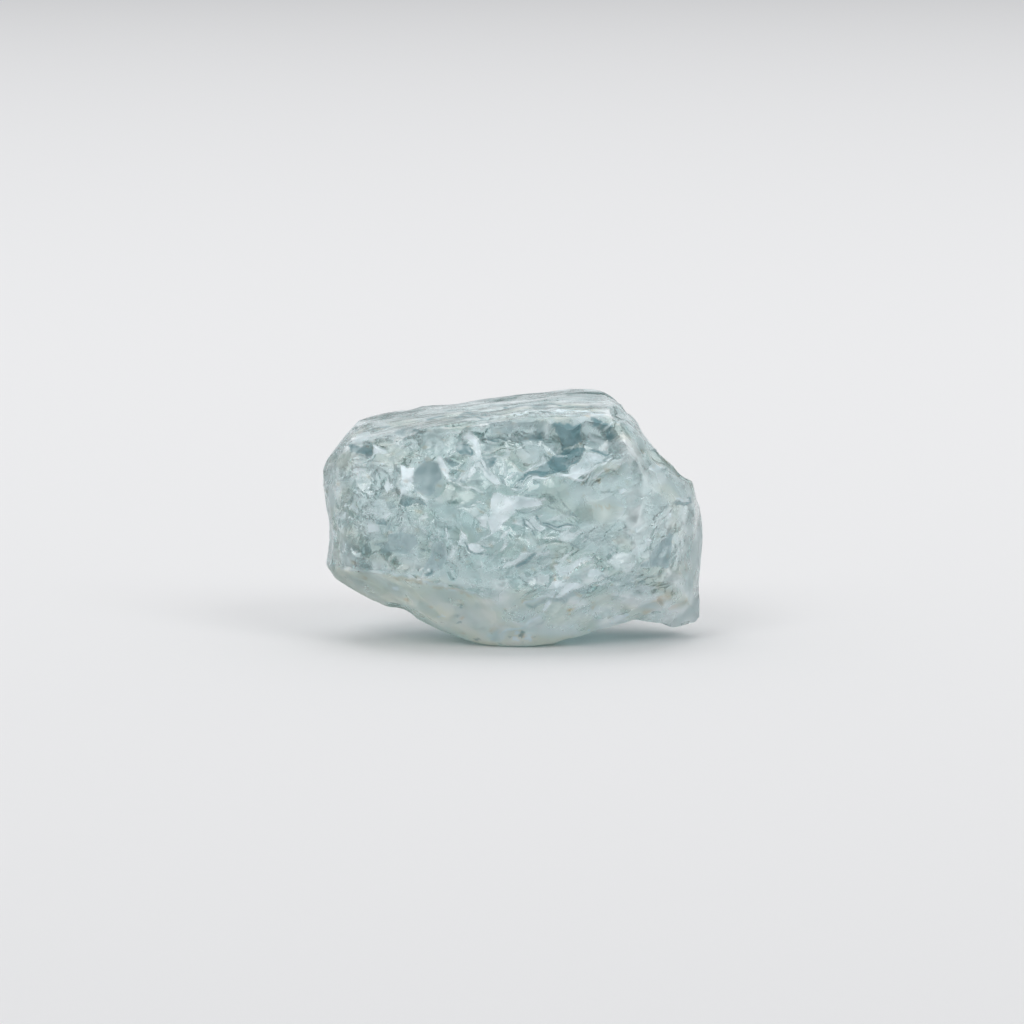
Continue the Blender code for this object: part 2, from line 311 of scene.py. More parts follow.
BACK_SCOOPS = [
    (3.2, 2, 2.6, 1.9, 0.6, 20), (0.2, 1.4, 2.3, 1.6, 0.46, -40), (-3.2, 1.3, 2.7, 1.7, 0.52, 10),
    (-5.8, 0.2, 2.2, 1.3, 0.3, 70), (1.6, -1.6, 3, 1.7, 0.5, 15), (-2.4, -2, 2.7, 1.5, 0.4, -20),
    (5.4, -1.2, 2.4, 1.5, 0.42, 70), (4, -3.2, 2.1, 1.1, 0.32, 10), (-5, -2.3, 2, 1.1, 0.26, -25),
    (-0.3, -3.6, 2.1, 1.2, 0.3, 0), (-1.2, 3.6, 3, 0.9, 0.2, 5, 0, 0.3), (2.8, 3.8, 2.2, 0.9, 0.2, 5, 0, 0.3),
]
# A point (x, v, w) that the scoop faces, half its length, half its width, its depth and its turn.
RIM_SCOOPS = [
    (-4.35, -3.9, -0.2, 0.8, 1.6, 0.42, -30), (2.7, -4.9, 0.2, 2.6, 2.4, 0.5, 8),
    (-7.5, -0.4, -0.4, 1.8, 1.4, 0.2, 90), (7.6, 1.3, 1.6, 1.2, 0.9, 0.3, 90),
    (4.66, 4.34, 0.2, 0.52, 0.5, 0.2, -45), (-2.4, 4.2, 2.6, 2.4, 1.1, 0.2, 5),
    (-5.6, 3.2, 2.8, 1.6, 1.1, 0.22, 35), (6, 2.7, 0.8, 2, 1.4, 0.3, -50),
    (5.45, 3.1, -0.3, 1.6, 1.3, 0.2, -48), (7.5, -2.2, 1.9, 2, 1.4, 0.18, 90),
]


def leaves_blank(start, direction):
    """Where a ray from inside the blank comes out: the nearest plane ahead of it, and that plane's normal."""
    slope = planes[:, :3] @ direction
    distance = np.full(len(planes), np.inf)
    ahead = slope > 1e-9
    distance[ahead] = (planes[ahead, 3] - planes[ahead, :3] @ start) / slope[ahead]
    nearest = distance.argmin()
    return start + distance[nearest] * direction, planes[nearest, :3]


def scoop(point, normal, along, half_length, half_width, depth):
    """The ellipsoid that dips `depth` under `point`: its cross radius is (width^2 + depth^2) / (2 depth)."""
    radius = (half_width ** 2 + depth ** 2) / (2 * depth)
    long_axis = unit(along - (along @ normal) * normal)
    axes = np.array([long_axis, np.cross(normal, long_axis), normal])
    half_sizes = np.array([half_length * radius / half_width, radius, radius])
    return point + normal * (radius - depth), axes, half_sizes


def turned(degrees):
    """The direction turned by so many degrees from +x towards +v."""
    return math.cos(math.radians(degrees)) * AXIS_X + math.sin(math.radians(degrees)) * AXIS_V


def face_scoops(table, outward):
    """The scoops of a broad face, which lies along `outward` from the stone's middle plane."""
    found = []
    for x, v, half_length, half_width, depth, turn, *tip in table:
        tip_x, tip_v = tip or (0, 0)
        point, normal = leaves_blank(upright((x, v, 0))[0], outward)
        normal = unit(normal + AXIS_X * tip_x + AXIS_V * tip_v)
        found.append(scoop(point, normal, turned(turn), half_length, half_width, depth))
    return found


def rim_scoops():
    """The scoops out of the outline, each facing between the blank's normal and its own direction."""
    found = []
    for x, v, w, half_length, half_width, depth, turn in RIM_SCOOPS:
        direction = unit(upright((x, v, w))[0])
        point, normal = leaves_blank(np.zeros(3), direction)
        found.append(scoop(point, unit(normal + direction), turned(turn), half_length, half_width, depth))
    return found


wide_scoops = face_scoops(FRONT_SCOOPS, -AXIS_W) + face_scoops(BACK_SCOOPS, AXIS_W) + rim_scoops()
print("scoops:", len(wide_scoops))

# %% The solid's chips
CHIP_SEED = 52
CHIP_COUNT = 44
CHIP_HALF_WIDTH = (0.22, 0.60)
CHIP_LENGTH_PER_WIDTH = (1.2, 2.6)
CHIP_DEPTH_PER_WIDTH = (0.16, 0.34)
CHIP_TILT = 0.25
CHIP_CLEAR_OF_REST = 1.1    # mm above the flat that the stone rests on


def edge_chips():
    """Small scoops at random places along the sharp edges, longer edges having more of them."""
    random = np.random.default_rng(CHIP_SEED)
    start, end, normals = sharp_edges[:, :3], sharp_edges[:, 3:6], sharp_edges[:, 6:]
    lengths = np.linalg.norm(end - start, axis=1)
    found = []
    for _ in range(CHIP_COUNT):
        edge = random.choice(len(sharp_edges), p=lengths / lengths.sum())
        point = start[edge] + random.uniform() * (end[edge] - start[edge])
        normal = unit(normals[edge] + random.normal(size=3) * CHIP_TILT)
        half_width = random.uniform(*CHIP_HALF_WIDTH)
        half_length = half_width * random.uniform(*CHIP_LENGTH_PER_WIDTH)
        depth = half_width * random.uniform(*CHIP_DEPTH_PER_WIDTH)
        if point[2] > CHIP_CLEAR_OF_REST - REST_DROP:
            found.append(scoop(point, normal, end[edge] - start[edge], half_length, half_width, depth))
    return found


chips = edge_chips()
print("chips:", len(chips))

# %% Biting scoops out of the skin
BEND = (0.07, 1.5)          # mm and wavelength in mm: bends the scoops' rims
FINE_BEND = (0.007, 0.6)
SWELL = (0.02, 2.4)         # mm and wavelength in mm: what the fresh blank is uneven by
CLEAR_OF_REST = 0.5         # mm over which every relief fades out above the flat


def entry(directions, bite):
    """Distance at which each ray from the middle enters an ellipsoid: (b - sqrt(b^2 - a c)) / a in the space
    where the ellipsoid is a unit ball, with a, b and c the dot products of the ray and the ball's centre."""
    centre, axes, half_sizes = bite
    squash = axes / half_sizes[:, None]
    ray, middle = directions @ squash.T, squash @ centre
    a, b, c = (ray * ray).sum(1), ray @ middle, middle @ middle - 1
    inside = b * b - a * c
    return np.where((inside > 0) & (b > 0), (b - np.sqrt(np.maximum(inside, 0))) / a, np.inf)


bent_looks = unit(start_points + BEND[0] * wavy_vector(start_points, BEND[1], 21)
                  + FINE_BEND[0] * wavy_vector(start_points, FINE_BEND[1], 31))
above_rest = np.clip((start_points[:, 2] + REST_DROP) / CLEAR_OF_REST, 0, 1)
reach = reach - SWELL[0] * (1 + waviness(start_points, SWELL[1], 1)) * above_rest
owner = np.full(len(looks), -1)
for number, bite in enumerate(wide_scoops + chips):
    distance = entry(bent_looks, bite)
    cut = distance < reach
    reach[cut] = distance[cut]
    owner[cut] = number
print("bitten away:", round(100 * float((owner >= 0).mean())), "% of the directions")

# %% [markdown]
# ## Regions of the stone
#
# Each part of the surface broke in its own way: long streaks along the top, a glassy window under the ridge,
# a pitted left third, smooth worn bevels at the foot, and a frosted lobe at the right end. A region is a mask
# between 0 and 1, worked out from where a point is and which way the skin faces there.

# %% Normals on the grid
def as_sheet(points):
    """The points without the two poles, as rows of the grid lines that run from pole to pole."""
    return points[:-2].reshape(ROUND, ALONG - 1, 3)


def grid_normals(points):
    """The cross product of the differences along the two grid directions, pointed away from the middle."""
    sheet = as_sheet(points)
    normals = np.cross(np.roll(sheet, -1, 0) - np.roll(sheet, 1, 0), np.gradient(sheet, axis=1))
    normals = normals.reshape(-1, 3) / (np.linalg.norm(normals, axis=2).reshape(-1, 1) + 1e-12)
    normals *= np.sign((normals * points[:-2]).sum(1))[:, None]
    return np.vstack([normals, [[-1, 0, 0], [1, 0, 0]]])


skin = looks * reach[:, None]
skin_normals = grid_normals(skin)
print("share of the skin that faces forwards:", round(float((leaning(skin_normals)[2] < 0).mean()), 2))


# %% Region masks
def patch(x, v, row, soft):
    """1 inside a turned ellipse on the broad front (x, v, half sizes, degrees), fading over `soft`."""
    middle_x, middle_v, half_a, half_b, degrees = row
    c, s = math.cos(math.radians(degrees)), math.sin(math.radians(degrees))
    size = np.hypot(((x - middle_x) * c + (v - middle_v) * s) / half_a,
                    ((v - middle_v) * c - (x - middle_x) * s) / half_b)
    return 1 - rise(size, 1 - soft, 1 + soft)


def regions(points, normals):
    """Each region's mask: products of soft steps in a point's place (x, v, w) and in the way the skin faces
    there, and for the last one the greatest of several masks."""
    x, v, w = leaning(points)
    facing_x, facing_v, facing_w = leaning(normals)
    front = rise(-facing_w, 0.1, 0.4) * rise(-w, 0.0, 1.0)
    found = {"front": front}
    found["back"] = rise(facing_w, -0.2, 0.2)
    found["top"] = rise(facing_v, 0.50, 0.72) * rise(v, 2.0, 3.0)
    found["window"] = front * patch(x, v, (2.3, 2.85, 1.9, 1.05, 12), 0.2)
    found["shoulder"] = rise(facing_x, 0.25, 0.5) * rise(x, 4.2, 4.8) * rise(v, 0.2, 0.8)
    found["middle"] = front * patch(x, v, (0.0, 0.60, 1.0, 0.5, -18), 0.2)
    found["cell"] = front * patch(x, v, (-3.3, 1.50, 0.6, 0.7, 0), 0.2)
    found["bevel"] = below_line(x, v, BEVEL_LINE, 0.15) * rise(-w, -1.5, -0.5)
    found["lobe"] = rise(x, 6.3, 6.8) * rise(-v, -0.4, 0.2)
    found["left"] = front * rise(-x, 2.6, 4.6) * (1 - found["bevel"]) * (1 - found["cell"])
    found["low_right"] = front * rise(x, -0.5, 1.5) * rise(-v, 0.0, 0.8) * (1 - found["lobe"])
    found["foot"] = front * rise(-v, 2.7, 3.3)
    found["band"] = front * patch(x, v, (-4.9, -1.75, 1.8, 0.35, -3), 0.4)
    found["smooth"] = np.maximum.reduce([found["top"], found["window"], 0.9 * found["shoulder"],
                                         found["middle"], found["cell"], found["bevel"], 0.9 * found["foot"],
                                         0.9 * found["band"], 0.9 * found["lobe"]])
    return found


masks = regions(skin, skin_normals)
print("share of the skin:", {name: round(float(mask.mean()), 3) for name, mask in masks.items()})

# %% [markdown]
# ## Small flakes
#
# Between the big scoops the break is full of smaller shells. They are scattered by chance, more of them where
# the stone is rough, fewer where it is smooth, and evenly over the area. Each one is tested only on the grid
# points near it, which makes hundreds of them a matter of a second.

# %% Scattering flakes
def point_areas(points):
    """The area that belongs to each grid point: the length of the cross product of its two grid steps."""
    sheet = as_sheet(points)
    steps = np.cross(np.roll(sheet, -1, 0) - sheet, np.gradient(sheet, axis=1))
    return np.append(np.linalg.norm(steps, axis=2).reshape(-1), [0, 0])


FADE = 1.3          # times its half length: where a flake ends for good
MOST_DEPTH = 1.6    # times its depth: the most that a flake takes away
FLAKE_BEND = (0.03, 0.6)    # mm and wavelength in mm: bends the flakes' rims
areas = point_areas(skin)
fine_looks = unit(start_points + FLAKE_BEND[0] * wavy_vector(start_points, FLAKE_BEND[1], 41))


def flake_off(count, widths, depths, lengths, density, seed, turn=None):
    """Bites `count` scoops at random places: the half width is drawn evenly on a log scale between `widths`,
    the depth and the length as shares of it, and the floor is tipped by about its depth over its length."""
    random = np.random.default_rng(seed)
    weight = np.where(skin[:, 2] < CLEAR_OF_REST - REST_DROP, 0, density * areas)
    for place in random.choice(len(looks), size=count, p=weight / weight.sum()):
        point = skin[place]
        half_width = widths[0] * (widths[1] / widths[0]) ** random.uniform()
        half_length = half_width * random.uniform(*lengths)
        depth = half_width * random.uniform(*depths)
        normal = unit(skin_normals[place] + random.normal(size=3) * depth / half_length)
        along = random.normal(size=3) if turn is None else turned(random.normal(*turn))
        bite = scoop(point, normal, along, half_length, half_width, depth)
        near = np.nonzero(looks @ unit(point) > math.cos(FADE * half_length / np.linalg.norm(point)))[0]
        gap = np.linalg.norm(skin[near] - point, axis=1)
        most = MOST_DEPTH * depth * np.clip(1 - (gap / (FADE * half_length)) ** 2, 0, 1)
        distance = np.maximum(entry(fine_looks[near], bite), reach[near] - most)
        reach[near] = np.minimum(reach[near], distance)


# %% Five kinds of flakes
rough = (1 - masks["smooth"]) * (1 - 0.9 * masks["back"])
before = reach.copy()
flake_off(60, (0.30, 0.70), (0.09, 0.17), (1.4, 2.8), rough * (0.15 + masks["left"]), 57)
flake_off(50, (0.22, 0.50), (0.14, 0.28), (1.6, 3.2), rough * (0.05 + masks["low_right"]), 52, (25, 14))
flake_off(110, (0.16, 0.34), (0.14, 0.30), (1.0, 2.0), rough * (0.06 + masks["left"]), 53)
flake_off(500, (0.06, 0.14), (0.14, 0.30), (1.0, 2.0), rough * (0.01 + masks["left"]), 54)
flake_off(60, (0.25, 0.60), (0.08, 0.16), (1.4, 2.6), masks["back"], 61)
print("deepest flake in mm:", round(float((before - reach).max()), 3))

# %% [markdown]
# ## Bars, rims and creases
#
# Some forms are one of a kind: the bright rim under the window, the bars that branch between the hollows, a
# curved crack low on the left. Each is a line of points on the broad front. A raised bar is a bell-shaped
# swelling across the line, and a crease is the same thing turned inwards. Each line also carries a painted
# highlight or a painted shade in the colour, for the light that its edge catches or the dark beside it. To keep
# a line on one line of the table, its points are written as in a drawn path: x,v and a space, in hundredths of
# a millimetre.

# %% Lines on the front
# Half width in mm, height in mm (below zero for a crease), tone (painted highlight above zero, painted shade
# below), and points.
LINES = [
    # the painted highlight along the edge of the upper face
    (0.05, 0.02, 1.3, "-20,405 60,418 160,424 260,423 360,412"),
    (0.07, 0.015, 0.8, "-260,395 -140,400 -40,392 60,398 160,405 260,405"),
    (0.04, 0.015, 0.8, "-360,320 -270,328 -190,345"),
    # streaks of painted shade along the upper face
    (0.06, -0.01, -0.9, "-340,392 -260,398 -180,400 -100,398"),
    (0.055, -0.01, -0.9, "-210,410 -130,416 -60,424"),
    (0.075, -0.01, -1.1, "-30,436 30,446 90,456 170,458"),
    (0.06, -0.01, -1, "80,442 160,447 240,442 300,438"),
    (0.08, -0.01, -0.85, "120,475 190,480 260,472"),
    (0.06, -0.01, -0.7, "-560,355 -480,362 -430,360"),
    (0.11, -0.01, -0.75, "-460,342 -400,338 -360,336"),
    (0.06, -0.01, -0.9, "-660,342 -630,350 -590,366"),
    (0.06, -0.01, -0.8, "160,492 230,490 290,480"),
    (0.06, -0.01, -0.8, "-290,432 -220,436 -140,450"),
    (0.06, 0.01, 0.9, "-90,452 -20,468 60,474"),
    # the rim under the window and the fan of fine lines at its right end
    (0.05, 0.02, 1.3, "-10,115 40,130 90,155 150,165 190,163 230,150 270,155 310,185 370,225 430,262"),
    (0.1, 0, -0.85, "5,132 45,152 100,180 160,198"),
    (0.045, 0.01, 1, "275,172 335,212 390,248 440,278"),
    (0.045, 0.01, 0.9, "300,200 350,234 420,282"),
    (0.04, 0.01, -0.8, "305,168 360,206 430,250"),
    (0.04, 0.01, 0.9, "315,162 370,197 440,242"),
    (0.04, 0.01, -0.7, "300,190 345,222 410,270"),
    (0.04, 0, -0.8, "0,102 45,114 95,138 150,150 195,146"),
    # the ribs that cross the window
    (0.16, 0.03, 0.7, "142,385 135,335 150,285 142,250 115,222"),
    (0.07, 0.02, 0.95, "130,232 100,210 60,192 20,176 -15,162"),
    (0.06, 0.015, 0.7, "174,320 182,280 175,250 150,225"),
    (0.15, 0.025, 0.65, "272,390 285,350 320,312 365,285 425,275"),
    (0.04, 0.015, 1.1, "205,266 250,280 295,297"),
    (0.04, 0.015, 1, "345,340 370,355 395,372"),
    (0.06, 0.01, 0.6, "210,202 245,235 275,262"),
    # short ticks at the left end of the window
    (0.04, -0.01, -0.9, "76,342 98,378"),
    (0.035, 0.01, 1, "66,344 86,378"),
    (0.04, -0.01, -0.8, "90,336 110,366"),
    (0.04, -0.01, -0.9, "308,362 340,386"),
    (0.035, 0.01, 0.9, "324,356 360,382"),
    # the edge of the shoulder
    (0.05, 0.03, 0.7, "420,405 470,360 520,300 595,248 660,195"),
    (0.04, 0.015, 0.4, "425,380 465,345 490,310"),
    # the bars that branch between the hollows
    (0.2, 0.04, 0.8, "-185,320 -150,302 -132,270 -130,235 -108,202 -85,162 -60,135"),
    (0.17, 0.035, 0.65, "-135,260 -162,215 -178,175 -205,135"),
    (0.07, 0.02, 0.8, "-162,198 -135,202 -115,185"),
    (0.04, 0, -0.8, "-166,210 -145,214 -125,220 -105,190 -88,172"),
    (0.13, 0.03, 0.95, "-292,235 -278,198 -255,162"),
    (0.1, 0.025, 0.75, "-255,148 -215,128 -165,110 -120,112"),
    (0.04, 0, -0.8, "-175,104 -140,103 -110,108"),
    (0.08, 0.025, 0.8, "-68,238 -45,220 -30,175"),
    (0.06, 0.025, 0.5, "-110,295 -40,290 20,282 90,286"),
    (0.05, 0.025, 0.5, "-125,235 -60,248 0,275"),
    (0.07, 0.02, 0.7, "-415,108 -380,98 -342,72"),
    # slivers in the pitted left part
    (0.035, 0.01, 1, "-320,-74 -290,-62 -260,-74"),
    (0.035, 0.01, 1, "-288,-42 -278,-92"),
    (0.035, 0.01, 1, "-262,-48 -256,-86"),
    (0.04, 0.01, 0.9, "-246,-92 -228,-120"),
    (0.035, 0.01, 1, "-255,-186 -236,-208"),
    (0.035, 0.01, 0.9, "-290,-226 -266,-216"),
    (0.04, 0.01, 0.9, "-415,-138 -374,-150"),
    (0.035, 0.01, 0.8, "-610,10 -570,14 -520,12"),
    (0.09, 0.015, 0.55, "-385,-15 -360,-38 -345,-55"),
    (0.06, -0.01, -0.6, "-460,205 -462,160 -445,125"),
    # the line along the top of the bevels
    (0.08, 0.02, 0.75, "-670,-198 -620,-200 -530,-205 -470,-218 -400,-230 -340,-252 -260,-268 -180,-290 "
                       "-100,-295"),
    # the arc at the foot of the front
    (0.055, 0.012, 1.6, "165,-260 160,-300 140,-340 110,-385 75,-410 25,-428 -20,-440 -60,-465 -80,-480"),
    (0.035, 0.01, 0.9, "148,-315 125,-350 95,-390"),
    (0.045, 0, -0.4, "168,-310 150,-352 120,-398 80,-427"),
    # slivers that rise to the right
    (0.045, 0.02, 0.6, "230,-230 300,-190 365,-150"),
    (0.05, 0.02, 0.5, "200,-175 270,-150 330,-128"),
    (0.045, 0.02, 0.5, "290,-235 325,-225 345,-195"),
    (0.045, 0.02, 0.5, "340,-200 365,-225 395,-235"),
    (0.05, 0.02, 0.55, "-45,-195 10,-170 85,-138"),
    (0.04, 0.02, 0.45, "460,-230 510,-170 560,-115 625,-55"),
    (0.04, 0.015, 0.4, "450,-236 530,-230 620,-218"),
    # creases: the crack, the ripples in the middle, and the slits beside the slivers
    (0.04, -0.04, -1.3, "-187,-108 -170,-130 -140,-138 -105,-128"),
    (0.05, 0.02, 0.6, "-112,-135 -120,-170 -105,-205"),
    (0.06, -0.02, -0.8, "10,30 50,22 95,33 130,50"),
    (0.05, -0.015, -0.9, "162,70 138,52 150,34 195,12"),
    (0.045, -0.01, -0.8, "195,62 215,36 250,16"),
    (0.05, 0.01, 0.9, "70,62 105,70 130,76"),
    (0.05, 0.01, 0.9, "75,42 105,40 128,42"),
    (0.06, -0.02, -1.1, "100,8 130,-12 180,-32 230,-30"),
    (0.05, -0.02, -1.1, "115,-14 150,-38 185,-55"),
    (0.05, 0.01, 0.9, "100,-2 140,-24 190,-44 240,-40"),
    (0.05, -0.02, -0.9, "30,-10 36,-34 75,-60 105,-80"),
    (0.045, -0.01, -0.8, "40,-12 85,-42 130,-60"),
    (0.08, -0.03, -1.1, "10,-184 50,-174 85,-146"),
    (0.05, -0.02, -0.7, "100,-162 120,-176 132,-186"),
    (0.06, -0.02, -0.8, "440,-265 480,-264 510,-256"),
    (0.045, -0.01, -0.6, "465,-236 540,-232 605,-222"),
    (0.06, -0.03, -1, "-350,-218 -330,-214 -310,-205"),
    (0.04, 0.01, 0.9, "-335,-226 -318,-220 -302,-206"),
    (0.06, -0.02, -1.1, "-110,308 -50,298 10,298"),
    (0.04, -0.01, -0.9, "-120,322 -60,312 -10,310 50,320 110,325"),
    (0.04, -0.01, -0.7, "300,-160 330,-142 360,-135"),
    (0.05, -0.01, -0.6, "310,-242 335,-238 360,-220 380,-242 420,-245"),
    (0.05, -0.01, -0.7, "215,-95 240,-110 260,-128"),
    (0.06, -0.01, -0.6, "45,-338 95,-336 130,-322 200,-320 290,-280"),
]
print("lines:", len(LINES))


# %% Drawing lines
def path(points):
    """A written path as pairs in mm: each number divided by a hundred."""
    return [tuple(int(number) / 100 for number in pair.split(",")) for pair in points.split()]


def gap_to_line(x, v, line):
    """The distance to the nearest of a line's segments, from the clamped projection on each of them."""
    nearest = np.full(len(x), np.inf)
    for (x0, v0), (x1, v1) in zip(line[:-1], line[1:]):
        step_x, step_v = x1 - x0, v1 - v0
        share = np.clip(((x - x0) * step_x + (v - v0) * step_v) / (step_x ** 2 + step_v ** 2), 0, 1)
        nearest = np.minimum(nearest, np.hypot(x - x0 - share * step_x, v - v0 - share * step_v))
    return nearest


def swayed(x, v, points, amount, size, seed):
    """x and v plus the amount times a wavy field each, which turns straight borders into natural ones."""
    return x + amount * waviness(points, size, seed), v + amount * waviness(points, size, seed + 1)


def on_front(points, normals):
    """The numbers of the points on the broad front, which lie and face to the front, and their x and v."""
    x, v, w = leaning(points)
    front = np.nonzero((w < -0.5) & (leaning(normals)[2] < -0.1))[0]
    return front, x[front], v[front]


def draw_lines(points, normals):
    """The height, painted highlight and painted shade of all lines at each point. The height is the line's own
    times exp(-(gap / half width)^2), and the tone falls off a little faster and is broken up by a wavy field."""
    height, white, dark = np.zeros((3, len(points)))
    front, x, v = on_front(points, normals)
    x, v = swayed(x, v, points[front], 0.05, 0.9, 81)
    broken = 0.45 + 0.55 * rise(waviness(points[front], 0.6, 83), -1.0, 0.3)
    for half_width, bump, tone, line in LINES:
        gap = gap_to_line(x, v, path(line))
        height[front] += bump * np.exp(-(gap / half_width) ** 2)
        shade = white if tone > 0 else dark
        bell = np.exp(-(1.2 * gap / half_width) ** 2)
        shade[front] = np.maximum(shade[front], abs(tone) * broken * bell)
    return height, white, dark


skin = looks * reach[:, None]
line_height = draw_lines(skin, skin_normals)[0]
print("lines from", round(line_height.min(), 3), "to", round(line_height.max(), 3), "mm high")
